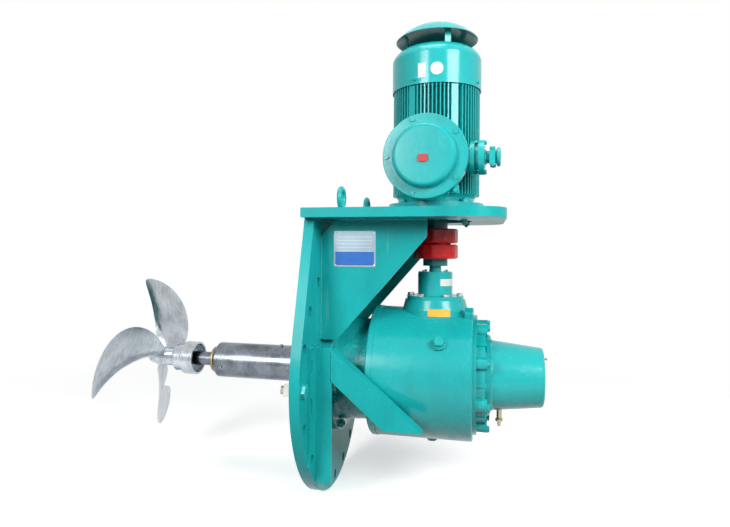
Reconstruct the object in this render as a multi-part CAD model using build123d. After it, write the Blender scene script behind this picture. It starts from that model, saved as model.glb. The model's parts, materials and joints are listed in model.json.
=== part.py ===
from build123d import *
import math
import os

"""Side entry tank mixer: a mounting plate and support frame, a right-angle bevel
gearbox, a vertical flameproof motor with a rain canopy, and a three-bladed propeller.

Millimetres. The origin is the centre of the mounting plate's tank face, on the
propeller axis: +X runs from the tank towards the gearbox, +Z is up.
"""

# ---------------------------------------------------------------- driving dimensions
# Clearances and fits
RUN_GAP = 0.05            # radial gap of a running fit
FREE_GAP = 0.5            # gap between parts that pass each other
HOLE_GAP = 0.75           # radial gap of a bolt in its hole

# Mounting plate (PN10 pattern, nominal bore 600)
PLATE_R = 390.0
PLATE_T = 30.0
PLATE_TOP_HALF = 260.0    # half-width where the plate meets the top plate
PLATE_BOLT_R = 362.5
PLATE_BOLTS = 20
PLATE_HOLE_R = 15.0

# Top plate, under the motor
TOP_Z = 484.0
TOP_T = 28.0
TOP_HALF_Y = 300.0
TOP_END_X = 576.0
TOP_CORNER_R = 110.0

# Gussets, angle bars and braces on both sides of the frame
GUSSET_Y = 184.0
GUSSET_T = 10.0
GUSSET_LOW_Z = 118.0
GUSSET_FOOT_X = 82.0
GUSSET_TIP_X = 352.0
GUSSET_TIP_Z = 431.0
GUSSET_SNIPE = 50.0
BAR_Y = 262.0             # outer face of the leg that stands off the plate
BAR_LEG = 56.0
BAR_T = 8.0
BAR_TOP_Z = 105.0
BAR_FAR_LOW_Z = -200.0
BAR_SLOTS = ((55.0, 40.0), (-62.0, 54.0))   # height of each slot's middle, and its length
BAR_SLOT_W = 13.0
BRACE_T = 6.0
BRACE_TOP_LEG = 45.0
BRACE_HIGH_Z = 100.0      # where the upper edge leaves the bar
BRACE_LOW_X = 347.0
BRACE_LOW_Z = -124.0
BRACE_DEPTH = 94.0        # measured straight down

# Motor axis and its standing heights
MOTOR_X = 360.0
FLANGE_R = 150.0          # motor mounting flange, bolt circle 265
FLANGE_T = 26.0
FLANGE_BOLT_R = 132.5
FLANGE_BOLT = 12.0        # screw diameter
SPIGOT_R = 115.0
SPIGOT_T = 4.0
MOTOR_FRAME_LOW = 51.0    # height of the finned frame above the top plate
MOTOR_FRAME_H = 340.0
MOTOR_TUBE_R = 114.0
MOTOR_BORE_R = 104.0
FIN_R = 137.0
FIN_T = 3.6
FIN_PITCH = 5.0           # degrees
BAND_W = 22.0
BAND_ANGLES = (-118.0, -61.0, 61.0, 118.0)
STATOR_BORE_R = 68.0
AIR_GAP = 0.7
CORE_H = 180.0
MOTOR_SHAFT_R = 20.0
COUPLED_R = 19.0          # both coupled shaft ends, 38 mm
FAN_R = 104.0
COWL_R = 141.0
COWL_T = 2.0
COWL_LAP = 8.0            # the cowl's rim reaches down over the fins
COWL_SIDE_H = 90.0
COWL_TOP_H = 36.0
COWL_MOUTH_R = 103.0
CANOPY_R = 130.0
CANOPY_RISE = 56.0
CANOPY_T = 2.0
CANOPY_GAP = 33.0         # open height between the cowl and the canopy's rim
POST_W = 19.0
POST_T = 5.0
POSTS = 3

# Terminal box, round, on the side of the motor
BOX_TURN = 3.0            # degrees from -Y towards -X
BOX_Z = 660.0
BOX_R = 100.0
BOX_FLANGE_R = 122.0
BOX_BACK = 144.0          # distances from the motor axis
BOX_FACE = 221.0
COVER_T = 14.0
COVER_DOME_R = 93.0
COVER_DOME_H = 28.0
COVER_BOLTS = 5
COVER_BOLT_R = 110.0
ENTRY_AT = 160.0
ENTRY_L = 84.0
ENTRY_BORE_R = 14.0

# Coupling
COUPLING_R = 70.0
COUPLING_GAP = 3.8
COUPLING_MID_Z = 412.1
COUPLING_H = 45.5
HUB_R = 39.0
CAVITY_R = 50.0
CAVITY_D = 12.0
JAW_HALF = 18.0           # degrees
SPIDER_HUB_R = 29.0

# Gearbox
BARREL_R = 207.0
BARREL_X0 = 170.0
BARREL_X1 = 482.0
RING_R = 209.0
RING_T = 20.0
BARREL_WALL = 12.0
REAR_OPENING_R = 150.0
BOSS_TOP_Z = 235.0
BOSS_TOP_R = 95.0
BOSS_FLARE = 8.0
CARTRIDGE_R = 55.0
CARTRIDGE_FLANGE_R = 90.0
CARTRIDGE_FLANGE_T = 12.0
CARTRIDGE_TOP_Z = 317.0
CARTRIDGE_BORE_R = 49.0
CARTRIDGE_BOLT_R = 78.0
COVER_R = 186.0           # rear cover
COVER_X1 = 525.0
COVER_LUG_R = 166.0
CONE_R0 = 108.0
CONE_R1 = 90.0
CONE_X0 = 537.0
CONE_X1 = 692.0
CONE_WALL = 4.0

# Bevel gears, apex where the axes cross
MODULE = 20.0 / 3
PINION_TEETH = 12
GEAR_TEETH = 42
FACE_WIDTH = 40.0
PRESSURE = math.radians(20.0)
BACKLASH = 0.5            # taken off each tooth's thickness at the big end

# Propeller shaft and its bearings
SHAFT_R = 23.5
BEARING_SEAT_R = 27.5
BEARING_OUTER_R = 50.0
BEARING_W = 22.0
FRONT_BEARING_X = 190.0
REAR_BEARING_X = 494.0
GEAR_SEAT_R = 31.0
TUBE_R = 60.0
TUBE_BORE_R = 46.0
TUBE_END_X = -405.0
BUSH_FLANGE_R = 44.0
NECK_BASE_R = 203.0
NECK_BASE_T = 34.0
NECK_BOLT_R = 178.0
NECK_R = 166.0
NECK_BORE_R = 78.0
SEAL_R = 62.0
COLLAR_R = 58.0
COLLAR_X = -563.0
COLLAR_L = 85.0
HUB_X = -640.0
PROP_HUB_WALL = 8.5
PROP_HUB_R = SHAFT_R + PROP_HUB_WALL
PROP_R = 285.0
BLADES = 3
PROP_ANGLE = 36.5         # rest angle of the first blade from straight up, towards +Y

TOP_FACE_Z = TOP_Z + TOP_T
FRAME_Z0 = TOP_FACE_Z + MOTOR_FRAME_LOW
FRAME_Z1 = FRAME_Z0 + MOTOR_FRAME_H
COWL_SHOULDER_Z = FRAME_Z1 + COWL_SIDE_H
COWL_TOP_Z = COWL_SHOULDER_Z + COWL_TOP_H
CANOPY_Z = COWL_TOP_Z + CANOPY_GAP
CORE_Z0 = (FRAME_Z0 + FRAME_Z1 - CORE_H) / 2
LOW = (Align.CENTER, Align.CENTER, Align.MIN)


# ---------------------------------------------------------------- shape helpers
def rod_x(radius, x0, x1, y=0.0, z=0.0):
    """Solid cylinder along X."""
    return Pos(x0, y, z) * Rot(0, 90, 0) * Cylinder(radius, x1 - x0, align=LOW)


def rod_y(radius, y0, y1, x=0.0, z=0.0):
    """Solid cylinder along Y."""
    return Pos(x, y0, z) * Rot(-90, 0, 0) * Cylinder(radius, y1 - y0, align=LOW)


def rod_z(radius, z0, z1, x=MOTOR_X, y=0.0):
    """Solid cylinder along Z."""
    return Pos(x, y, z0) * Cylinder(radius, z1 - z0, align=LOW)


def turned_x(*points):
    """Solid of revolution about the propeller axis, from (x, radius) points."""
    return revolve(Plane.XZ * make_face(Polyline(*points, close=True)), Axis.X)


def turned_z(*points):
    """Solid of revolution about the motor axis, from (radius, z) points."""
    return Pos(MOTOR_X, 0, 0) * revolve(Plane.XZ * make_face(Polyline(*points, close=True)), Axis.Z)


def around_x(shape, count, first=0.0):
    """Copies of a shape spaced evenly about the propeller axis."""
    return [Rot(first + 360.0 * k / count, 0, 0) * shape for k in range(count)]


def around_motor(shape, count, first=0.0):
    """Copies of a shape spaced evenly about the motor axis."""
    turn = Pos(MOTOR_X, 0, 0)
    return [turn * Rot(0, 0, first + 360.0 * k / count) * turn.inverse() * shape for k in range(count)]


def slab_y(points, y0, y1):
    """Plate with an outline in X and Z, from y0 to y1."""
    face = Plane.XZ.offset(-y0) * make_face(Polyline(*points, close=True))
    return extrude(face, -(y1 - y0))


def hex_head(size, height):
    """Hexagon head standing on the XY plane, size across flats."""
    return extrude(RegularPolygon(size / math.sqrt(3), 6), height)


def bolt(diameter, grip, into, head=None):
    """Hexagon bolt: head above z = 0, shank below, grip plus the length in the thread."""
    head_h = head if head else 0.65 * diameter
    shank = Pos(0, 0, -(grip + into)) * Cylinder(diameter / 2, grip + into, align=LOW)
    return hex_head(1.55 * diameter, head_h) + shank


def mirrored(shape):
    """The same piece on the far side of the frame."""
    return mirror(shape, Plane.XZ)


# ---------------------------------------------------------------- mounting frame
def plate_outline():
    """Round below, with straight flanks tangent to the circle that taper to the top plate."""
    reach = math.hypot(PLATE_TOP_HALF, TOP_Z)
    angle = math.atan2(TOP_Z, PLATE_TOP_HALF) - math.acos(PLATE_R / reach)
    ty, tz = PLATE_R * math.cos(angle), PLATE_R * math.sin(angle)
    edge = ThreePointArc((-ty, tz), (0, -PLATE_R), (ty, tz))
    flanks = Polyline((ty, tz), (PLATE_TOP_HALF, TOP_Z), (-PLATE_TOP_HALF, TOP_Z), (-ty, tz))
    return make_face([edge, flanks])


def tank_flange():
    plate = extrude(Plane.YZ * plate_outline(), PLATE_T)
    return plate - rod_x(TUBE_R, -1, PLATE_T + 1) - plate_holes(PLATE_T + 1)


def plate_holes(depth):
    """The plate's bolt holes, the first one level with the propeller axis."""
    return around_x(rod_x(PLATE_HOLE_R, -1, depth, y=PLATE_BOLT_R), PLATE_BOLTS)


def top_plate():
    outline = Rectangle(TOP_END_X, 2 * TOP_HALF_Y, align=(Align.MIN, Align.CENTER))
    outline = fillet(outline.vertices().filter_by(lambda v: v.X > 1), TOP_CORNER_R)
    plate = Pos(0, 0, TOP_Z) * extrude(outline, TOP_T)
    screw = rod_z(FLANGE_BOLT / 2 + HOLE_GAP, TOP_Z - 1, TOP_FACE_Z + 1, x=MOTOR_X + FLANGE_BOLT_R)
    eyes = [rod_z(EYE_SHANK_R, TOP_FACE_Z - EYE_DEPTH, TOP_FACE_Z + 1, x=EYE_X, y=s * EYE_Y) for s in (-1,
            1)]
    return plate - rod_z(SPIGOT_R + 0.1, TOP_Z - 1, TOP_FACE_Z + 1) - around_motor(screw, 4, 45) - eyes


def gusset():
    """Near gusset, with a sniped corner over the weld between the two plates."""
    x0 = PLATE_T
    points = [(x0, GUSSET_LOW_Z), (GUSSET_FOOT_X, GUSSET_LOW_Z), (GUSSET_TIP_X, GUSSET_TIP_Z),
              (GUSSET_TIP_X, TOP_Z), (x0 + GUSSET_SNIPE, TOP_Z), (x0, TOP_Z - GUSSET_SNIPE)]
    return slab_y(points, -GUSSET_Y - GUSSET_T / 2, -GUSSET_Y + GUSSET_T / 2)


def angle_bar(low_z=-PLATE_R):
    """Near bar: one leg stands off the plate, the other lies flat on it, trimmed to the plate's rim."""
    inner = -BAR_Y + BAR_T
    corner = (Align.MIN, Align.MAX, Align.MIN)
    flat = Pos(PLATE_T, inner, low_z) * Box(BAR_T, BAR_LEG + BAR_T, BAR_TOP_Z - low_z, align=corner)
    stand = Pos(PLATE_T, inner, low_z) * Box(BAR_LEG, BAR_T, BAR_TOP_Z - low_z, align=corner)
    bar = (flat + stand) & rod_x(PLATE_R, 0, 200)
    for middle, length in BAR_SLOTS:
        slot = Rot(0, 90, 0) * extrude(SlotOverall(length, BAR_SLOT_W), BAR_T + 2)
        bar -= Pos(PLATE_T - 1, -BAR_Y - BAR_LEG / 2 - 10, middle) * slot
    return bar - plate_holes(PLATE_T + BAR_T + 1)


def brace():
    """Near diagonal angle from the bar's free edge down to the gearbox's side foot."""
    xa = PLATE_T + BAR_LEG
    za, xb, zb = BRACE_HIGH_Z, BRACE_LOW_X, BRACE_LOW_Z
    run = (xb - xa) / (za - zb)
    web = [(xa, za), (xb, zb), (xb - BRACE_DEPTH * run, zb), (xa, za - BRACE_DEPTH)]
    fall = BRACE_T * math.hypot(1, 1 / run)
    ledge = [(xa, za), (xb, zb), (xb - fall * run, zb), (xa, za - fall)]
    y0 = -BAR_Y
    return slab_y(web, y0, y0 + BRACE_T) + slab_y(ledge, y0, y0 + BRACE_TOP_LEG)


EYE_X = 94.0
EYE_Y = 188.0
EYE_SHANK_R = 10.0
EYE_DEPTH = 26.0
EYE_RING_R = 28.0
EYE_BAR_R = 8.0
EYE_COLLAR_R = 20.0
EYE_COLLAR_H = 10.0
EYE_CENTRE_Z = EYE_RING_R + EYE_BAR_R


def lifting_eyes():
    """Two eye bolts screwed into the top plate, rings standing across the frame."""
    ring = Pos(0, 0, EYE_CENTRE_Z) * Rot(0, 90, 0) * Torus(EYE_RING_R, EYE_BAR_R)
    neck = Pos(0, 0, -EYE_DEPTH) * Cylinder(EYE_SHANK_R, EYE_DEPTH, align=LOW)
    collar = Cone(EYE_COLLAR_R, EYE_COLLAR_R - 5, EYE_COLLAR_H, align=LOW)
    eye = ring + neck + collar
    return [Pos(EYE_X, s * EYE_Y, TOP_FACE_Z) * eye for s in (-1, 1)]


# ---------------------------------------------------------------- tank side
def shaft_tube():
    """Tube welded into the plate, bevelled at its free end, with a seat for the bush."""
    tube = turned_x((TUBE_END_X, BUSH_FLANGE_R), (TUBE_END_X + 14, TUBE_R), (PLATE_T, TUBE_R),
                    (PLATE_T, TUBE_BORE_R), (TUBE_END_X + 80, TUBE_BORE_R),
                    (TUBE_END_X + 80, BUSH_SEAT_R), (TUBE_END_X, BUSH_SEAT_R))
    return tube


BUSH_SEAT_R = 34.0


def tube_bush():
    """Flanged plain bush that steadies the shaft in the tube's end."""
    bore = SHAFT_R + RUN_GAP
    return turned_x((TUBE_END_X - 10, bore), (TUBE_END_X - 10, BUSH_FLANGE_R - 3), (TUBE_END_X - 7,
                    BUSH_FLANGE_R),
                    (TUBE_END_X, BUSH_FLANGE_R), (TUBE_END_X, BUSH_SEAT_R), (TUBE_END_X + 60, BUSH_SEAT_R),
                    (TUBE_END_X + 60, bore))


def seal_neck():
    """Casting between the plate and the gearbox: bolted base flange and a slightly waisted drum."""
    x0, x1 = PLATE_T, BARREL_X0
    base = x0 + NECK_BASE_T
    body = turned_x((x0, NECK_BORE_R), (x0, NECK_BASE_R), (base - 2, NECK_BASE_R), (base, NECK_BASE_R - 2),
                    (base, NECK_R + 4), (base + 10, NECK_R + 1), (x1 - 30, NECK_R - 3), (x1 - 8, NECK_R),
                    (x1, NECK_R + 4), (x1, NECK_BORE_R))
    return body - around_x(rod_x(NECK_SCREW_R, x0 - 1, base + 1, z=NECK_BOLT_R + 6), NECK_BOLTS, 22.5)


NECK_BOLTS = 8
NECK_SCREW_R = 8.0


def neck_bolts():
    """Studs and nuts that hold the neck's base flange to the plate."""
    face = PLATE_T + NECK_BASE_T
    nut = Pos(face, 0, NECK_BOLT_R + 6) * Rot(0, 90, 0) * hex_head(24, 13)
    return around_x(nut + rod_x(NECK_SCREW_R, PLATE_T, face + 19, z=NECK_BOLT_R + 6), NECK_BOLTS, 22.5)


def seal_seat():
    """Fixed ring of the mechanical seal, held in the neck's bore."""
    bore = SHAFT_R + 3
    return turned_x((60, bore), (60, NECK_BORE_R), (78, NECK_BORE_R), (78, 50), (84, 50), (84, bore))


def seal_rotor():
    """Rotating seal ring and its spring holder on the shaft."""
    return turned_x((84.3, SHAFT_R), (84.3, 44), (92, 46), (92, 50), (122, 50), (122, SHAFT_R))


# ---------------------------------------------------------------- propeller shaft
def output_shaft():
    """Stepped shaft from the propeller through the tube, seal and gearbox."""
    front, rear = FRONT_BEARING_X, REAR_BEARING_X
    return turned_x((HUB_X - 26, 0), (HUB_X - 26, 15), (HUB_X, 15), (HUB_X, SHAFT_R), (front, SHAFT_R),
                    (front, BEARING_SEAT_R), (front + BEARING_W, BEARING_SEAT_R),
                    (front + BEARING_W, GEAR_STOP_R), (GEAR_BACK_X, GEAR_STOP_R), (GEAR_BACK_X,
                            GEAR_SEAT_R),
                    (GEAR_FRONT_X, GEAR_SEAT_R), (rear, GEAR_SEAT_R), (rear, BEARING_SEAT_R),
                    (rear + BEARING_W, BEARING_SEAT_R), (rear + BEARING_W, SHAFT_R),
                    (rear + BEARING_W + 30, SHAFT_R), (rear + BEARING_W + 30, 0))


def shaft_collar():
    """Cup that shields the tube's end: a plain boss and a wider rim, open towards the tube."""
    x0, x1 = COLLAR_X, COLLAR_X + COLLAR_L
    return turned_x((x0, SHAFT_R), (x0, 42), (x0 + 6, 48), (x0 + 34, 48), (x0 + 38, COLLAR_R - 2),
                    (x0 + 42, COLLAR_R), (x1, COLLAR_R), (x1, COLLAR_R - 7), (x0 + 52, COLLAR_R - 9),
                    (x0 + 52, SHAFT_R))


def blade_section(share):
    """Lens-shaped section of a blade, flat, square to the radius, at a share of the radius."""
    radius = PROP_HUB_R - 8 + share * (PROP_R - PROP_HUB_R + 8)
    chord = BLADE_CHORD * share ** 0.8 * math.sqrt(1 - share ** 5.5) + BLADE_ROOT * (1 - share) ** 2
    chord = max(BLADE_TIP, chord)
    thick = 11 - 7.5 * share
    pitch = math.atan2(PITCH / (2 * math.pi), max(radius, 60))
    skew = math.radians(16.4 + 1.7 * share - 33.8 * share ** 2)
    rake = -70 * share - 12.8 * share ** 2
    half = chord / 2
    lens = make_face([ThreePointArc((-half, 0), (0, thick / 2), (half, 0)),
                      ThreePointArc((half, 0), (0, -thick / 2 + thick * 0.15), (-half, 0))])
    tilt = Rot(0, 0, 90 - math.degrees(pitch))
    return Rot(-math.degrees(skew), 0, 0) * Pos(rake, 0, radius) * tilt * lens


PITCH = 508.5
BLADE_CHORD = 298.0
BLADE_ROOT = 41.0
BLADE_TIP = 12.0
BLADE_AT = 20.0           # blade root's middle behind the hub's front
BLADE_STEPS = (0.0, 0.14, 0.32, 0.52, 0.70, 0.83, 0.92, 0.97, 1.0)


def propeller():
    """Hub with swept, raked blades of constant pitch."""
    sections = [blade_section(s) for s in BLADE_STEPS]
    blade = loft(sections)
    middle = HUB_X + BLADE_AT
    hub = turned_x((HUB_X, SHAFT_R), (HUB_X, PROP_HUB_R - 4), (HUB_X + 4, PROP_HUB_R),
                   (HUB_X + HUB_L, PROP_HUB_R), (HUB_X + HUB_L, SHAFT_R))
    blades = [Rot(-PROP_ANGLE + 360 * k / BLADES, 0, 0) * Pos(middle, 0, 0) * blade for k in range(BLADES)]
    whole = hub + blades
    whole -= rod_x(PROP_HUB_R - 2, HUB_X - 100, HUB_X)
    return whole - rod_x(SHAFT_R, HUB_X - 100, COLLAR_X + 100) - rod_x(COLLAR_R + 20, COLLAR_X,
            COLLAR_X + 100)


HUB_L = COLLAR_X - HUB_X


def propeller_nut():
    """Domed nut that holds the propeller on its shaft."""
    body = Pos(HUB_X, 0, 0) * Rot(0, -90, 0) * hex_head(46, 22)
    x0 = HUB_X - 22
    dome = turned_x((x0 + 1, 0), (x0 + 1, 21), (x0, 21), (x0 - 6, 19.5), (x0 - 12, 15), (x0 - 16, 9),
                    (x0 - 18, 0))
    return body + dome - rod_x(15, HUB_X - 26, HUB_X + 1)


# ---------------------------------------------------------------- bevel gears
def cone_angle(teeth, mate):
    return math.atan2(teeth, mate)


CONE_LENGTH = MODULE / 2 * math.hypot(PINION_TEETH, GEAR_TEETH)
GEAR_PITCH_R = MODULE * GEAR_TEETH / 2
PINION_PITCH_R = MODULE * PINION_TEETH / 2
GEAR_BACK_X = 276.0
GEAR_FRONT_X = 352.0
GEAR_STOP_R = 36.0


def tooth_outline(teeth, mate, addendum, dedendum, thinning):
    """Half-widths of one tooth at four heights, on the back cone of a straight bevel gear."""
    virtual = MODULE * teeth / 2 / math.cos(cone_angle(teeth, mate))
    base = virtual * math.cos(PRESSURE)
    half_angle = math.pi * MODULE / 4 / virtual - thinning / 2 / virtual
    start = math.tan(PRESSURE) - PRESSURE
    outline = []
    for height in (-dedendum, -0.45 * MODULE, 0.0, 0.5 * addendum, addendum):
        radius = virtual + height
        roll = math.acos(min(1.0, base / radius))
        width = radius * (half_angle + start - (math.tan(roll) - roll))
        outline.append((width, height))
    return outline


def bevel_gear(teeth, mate, addendum, dedendum, blank, bore):
    """Straight bevel gear about +Z, apex at the origin, toothed towards +Z."""
    delta = cone_angle(teeth, mate)
    half = tooth_outline(teeth, mate, addendum, dedendum, BACKLASH)
    points = [(-w, h) for w, h in half] + [(w, h) for w, h in reversed(half)]
    generator = Vector(math.sin(delta), 0, math.cos(delta))
    outward = Vector(math.cos(delta), 0, -math.sin(delta))
    small = (CONE_LENGTH - FACE_WIDTH) / CONE_LENGTH
    sections = []
    for scale in (1.0, small):
        plane = Plane(origin=generator * CONE_LENGTH * scale, x_dir=Vector(0, 1, 0), z_dir=generator)
        sign = 1.0 if plane.y_dir.dot(outward) > 0 else -1.0
        sections.append(plane * make_face(Polyline(*[(w * scale, sign * h * scale) for w, h in points],
                        close=True)))
    tooth = loft(sections, ruled=True)
    whole = blank + [Rot(0, 0, 360.0 * k / teeth) * tooth for k in range(teeth)]
    return whole - bore


def root_point(delta, along, dedendum, extra=0.0):
    """Point on the root cone: radius and height, at a distance along the pitch cone."""
    share = along / CONE_LENGTH
    drop = dedendum * share + extra
    return (along * math.sin(delta) - drop * math.cos(delta),
            along * math.cos(delta) + drop * math.sin(delta))


def crown_gear():
    """Large bevel gear on the propeller shaft, facing +X."""
    delta = cone_angle(GEAR_TEETH, PINION_TEETH)
    dedendum = 1.25 * MODULE
    big = root_point(delta, CONE_LENGTH, dedendum - 0.6)
    small = root_point(delta, CONE_LENGTH - FACE_WIDTH, dedendum - 0.6)
    back = MOTOR_X - GEAR_BACK_X
    front = MOTOR_X - GEAR_FRONT_X
    blank = revolve(Plane.XZ * make_face(Polyline(
        (0, front), (54, front), (small[0] - 6, small[1] + 2), small, big, (big[0], big[1] + 14),
        (big[0] - 40, big[1] + 22), (56, back), (0, back), close=True)), Axis.Z)
    gear = bevel_gear(GEAR_TEETH, PINION_TEETH, 0.75 * MODULE, dedendum, blank, Cylinder(GEAR_SEAT_R, 400))
    turn = 180.0 / GEAR_TEETH
    return Pos(MOTOR_X, 0, 0) * Rot(0, -90, 0) * Rot(0, 0, turn) * gear


def bevel_pinion():
    """Small bevel gear on the input shaft, teeth pointing down."""
    delta = cone_angle(PINION_TEETH, GEAR_TEETH)
    dedendum = 1.0 * MODULE
    big = root_point(delta, CONE_LENGTH, dedendum - 0.4)
    small = root_point(delta, CONE_LENGTH - FACE_WIDTH, dedendum - 0.4)
    blank = revolve(Plane.XZ * make_face(Polyline(
        (0, small[1]), small, big, (big[0] - 2, big[1] + 16), (0, big[1] + 16), close=True)), Axis.Z)
    gear = bevel_gear(PINION_TEETH, GEAR_TEETH, 0.95 * MODULE, dedendum, blank, Cylinder(PINION_SEAT_R,
                      400))
    return Pos(MOTOR_X, 0, 0) * Rot(0, 0, 180) * gear


PINION_SEAT_R = 17.0


# ---------------------------------------------------------------- gearbox
def gearbox_housing():
    """Round barrel with a flared boss for the input cartridge, feet at both sides and a lug."""
    x0, x1 = BARREL_X0, BARREL_X1
    outer = turned_x((x0, 0), (x0, RING_R - 4), (x0 + 4, RING_R), (x0 + RING_T, RING_R), (x0 + RING_T,
                     BARREL_R),
                     (x1 - 3, BARREL_R), (x1, BARREL_R - 3), (x1, 0))
    flare_z = BOSS_TOP_Z - 30
    boss = turned_z((0, 60), (BOSS_TOP_R + BOSS_FLARE + 6, 60), (BOSS_TOP_R + BOSS_FLARE, flare_z),
                    (BOSS_TOP_R, BOSS_TOP_Z), (0, BOSS_TOP_Z))
    outer = outer + boss + feet() + housing_lug() + plug_boss()
    inner_r = BARREL_R - BARREL_WALL
    cavity = turned_x((x0 + 18, 0), (x0 + 18, inner_r), (x1 - 14, inner_r), (x1 - 14, REAR_OPENING_R),
                      (x1 + 1, REAR_OPENING_R), (x1 + 1, 0))
    hub = turned_x((x0 + 10, 0), (x0 + 10, 68), (FRONT_BEARING_X + BEARING_W, 62),
                   (FRONT_BEARING_X + BEARING_W, 0))
    body = outer - cavity + hub
    body -= rod_x(BEARING_OUTER_R, FRONT_BEARING_X, FRONT_BEARING_X + BEARING_W + 1)
    body -= rod_x(SHAFT_R + 6, x0 - 1, FRONT_BEARING_X + 1)
    body -= rod_z(CARTRIDGE_BORE_R + 3, 100, BOSS_TOP_Z + 1)
    screw = rod_z(CARTRIDGE_SCREW_R, BOSS_TOP_Z - 22, BOSS_TOP_Z + 1, x=MOTOR_X + CARTRIDGE_BOLT_R)
    body -= around_motor(screw, CARTRIDGE_BOLTS)
    body -= around_x(rod_x(COVER_SCREW_R, x1 - 13, x1 + 1, z=COVER_LUG_R), COVER_LUGS, 22.5)
    body -= filler_axis(rod_z(PLUG_R, BARREL_R - 30, BARREL_R + 30, x=0))
    body -= Pos(DRAIN_X, 0, 0) * Rot(180, 0, 0) * rod_z(PLUG_R, BARREL_R - 30, BARREL_R + 30, x=0)
    return body


CARTRIDGE_BOLTS = 6
CARTRIDGE_SCREW_R = 6.0
COVER_LUGS = 8
COVER_SCREW_R = 6.0
PLUG_R = 9.0
FILLER_X = 388.0
FILLER_ANGLE = 34.0       # above the horizontal, on the near side
DRAIN_X = 353.0
FOOT_X = (252.0, 302.0)
FOOT_Z = (-122.0, -98.0)


def feet():
    """Cast feet that reach out under the two braces."""
    reach = BAR_Y - BRACE_T
    (xa, xb), (za, zb) = FOOT_X, FOOT_Z
    return Pos((xa + xb) / 2, 0, (za + zb) / 2) * Box(xb - xa, 2 * reach, zb - za)


def housing_lug():
    """Small lug on the barrel's rear edge, beside the boss."""
    lug = Pos(BARREL_X1 - 12, 0, BARREL_R - 12) * Box(24, 38, 32, align=LOW)
    return Rot(LUG_ANGLE, 0, 0) * fillet(lug.edges().filter_by(Axis.X), 5)


LUG_ANGLE = 22.0          # from straight up, towards the near side


def filler_axis(shape):
    """Moves a shape from the Z axis to the oil filler's place."""
    return Pos(FILLER_X, 0, 0) * Rot(90 - FILLER_ANGLE, 0, 0) * shape


def plug_boss():
    ring = Cylinder(21, BARREL_R + 9, align=LOW) - Cylinder(22, BARREL_R - 10, align=LOW)
    drain = Pos(DRAIN_X, 0, 0) * Rot(180, 0, 0) * (
        Cylinder(20, BARREL_R + 1, align=LOW) - Cylinder(21, BARREL_R - 10, align=LOW))
    return filler_axis(ring) + drain


def plug(seat):
    """Screwed plug: collar and hexagon head above its seat, stem in the thread."""
    return (Pos(0, 0, seat - 16) * Cylinder(PLUG_R, 16, align=LOW) + Pos(0, 0, seat) * Cylinder(17, 4,
            align=LOW)
            + Pos(0, 0, seat + 4) * hex_head(27, 9))


def oil_plugs():
    """Filler plug high on the near side and drain plug underneath."""
    drain = Pos(DRAIN_X, 0, 0) * Rot(180, 0, 0) * plug(BARREL_R + 1)
    return [filler_axis(plug(BARREL_R + 9)), drain]


def rear_cover():
    """Cover with scalloped bolt lugs, a bearing hub inside and a seat for the end cap."""
    x0, x1 = BARREL_X1, COVER_X1
    drum = rod_x(COVER_R - 31, x0, x1 - 6) + rod_x(COVER_R, x0, x0 + 11)
    lug = rod_x(19, x0, x1, z=COVER_LUG_R - 8)
    rib = Pos(x0 + 5, 0, 120) * Box(x1 - x0 - 7, 12, 39, align=(Align.MIN, Align.CENTER, Align.MIN))
    drum = drum + around_x(lug, COVER_LUGS, 22.5) + around_x(rib, COVER_LUGS)
    drum = drum + rod_x(128, x0, x1) + turned_x((x0 - 6, 0), (x0 - 6, 64), (x0, 70), (x0, 0))
    drum -= turned_x((x0 - 7, 0), (x0 - 7, BEARING_OUTER_R), (REAR_BEARING_X + BEARING_W, BEARING_OUTER_R),
                     (REAR_BEARING_X + BEARING_W, SHAFT_R + 4), (x1 + 1, SHAFT_R + 4), (x1 + 1, 0))
    pocket = turned_x((x0 - 1, 74), (x0 - 1, 118), (x1 - 20, 112), (x1 - 20, 78))
    holes = around_x(rod_x(COVER_SCREW_R, x0 - 1, x1 + 1, z=COVER_LUG_R), COVER_LUGS, 22.5)
    taps = around_x(rod_x(CAP_SCREW_R, x1 - 12, x1 + 1, z=CAP_SCREW_AT), CAP_SCREWS, 18)
    return drum - pocket - holes - taps


CAP_SCREWS = 6
CAP_SCREW_R = 3.0
CAP_SCREW_AT = 117.0
CAP_FLANGE_R = 124.0


def rear_cover_bolts():
    head = Pos(COVER_X1, 0, COVER_LUG_R) * Rot(0, 90, 0) * bolt(2 * COVER_SCREW_R, COVER_X1 - BARREL_X1, 12)
    return around_x(head, COVER_LUGS, 22.5)


def end_cap():
    """Conical cap over the shaft's end, a thin flange at its root and a closed rounded nose."""
    x0, x1 = COVER_X1, CONE_X1
    shell = turned_x((x0, 0), (x0, CAP_FLANGE_R), (x0 + 8, CAP_FLANGE_R), (CONE_X0, CONE_R0 + 2),
                     (CONE_X0 + 4, CONE_R0), (x1 - 7, CONE_R1 + 1), (x1 - 2, CONE_R1 - 2), (x1,
                             CONE_R1 - 8), (x1, 0))
    hollow = turned_x((x0 - 1, 0), (x0 - 1, CONE_R0 - CONE_WALL), (CONE_X0, CONE_R0 - CONE_WALL),
                      (x1 - 8, CONE_R1 - CONE_WALL), (x1 - 8, 0))
    nipple_hole = rod_x(NIPPLE_R, x1 - 10, x1 + 1, z=NIPPLE_Z)
    screw_hole = rod_x(CAP_SCREW_R, x0 - 1, x0 + 9, z=CAP_SCREW_AT)
    drain_hole = rod_z(DRAIN_PIPE_R, -CONE_R0 - 20, -CONE_R0 + 16, x=DRAIN_PIPE_X)
    return shell - hollow - nipple_hole - around_x(screw_hole, CAP_SCREWS, 18) - drain_hole


NIPPLE_R = 3.0
NIPPLE_Z = 57.0
DRAIN_PIPE_R = 8.0
DRAIN_PIPE_X = 562.0


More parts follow.
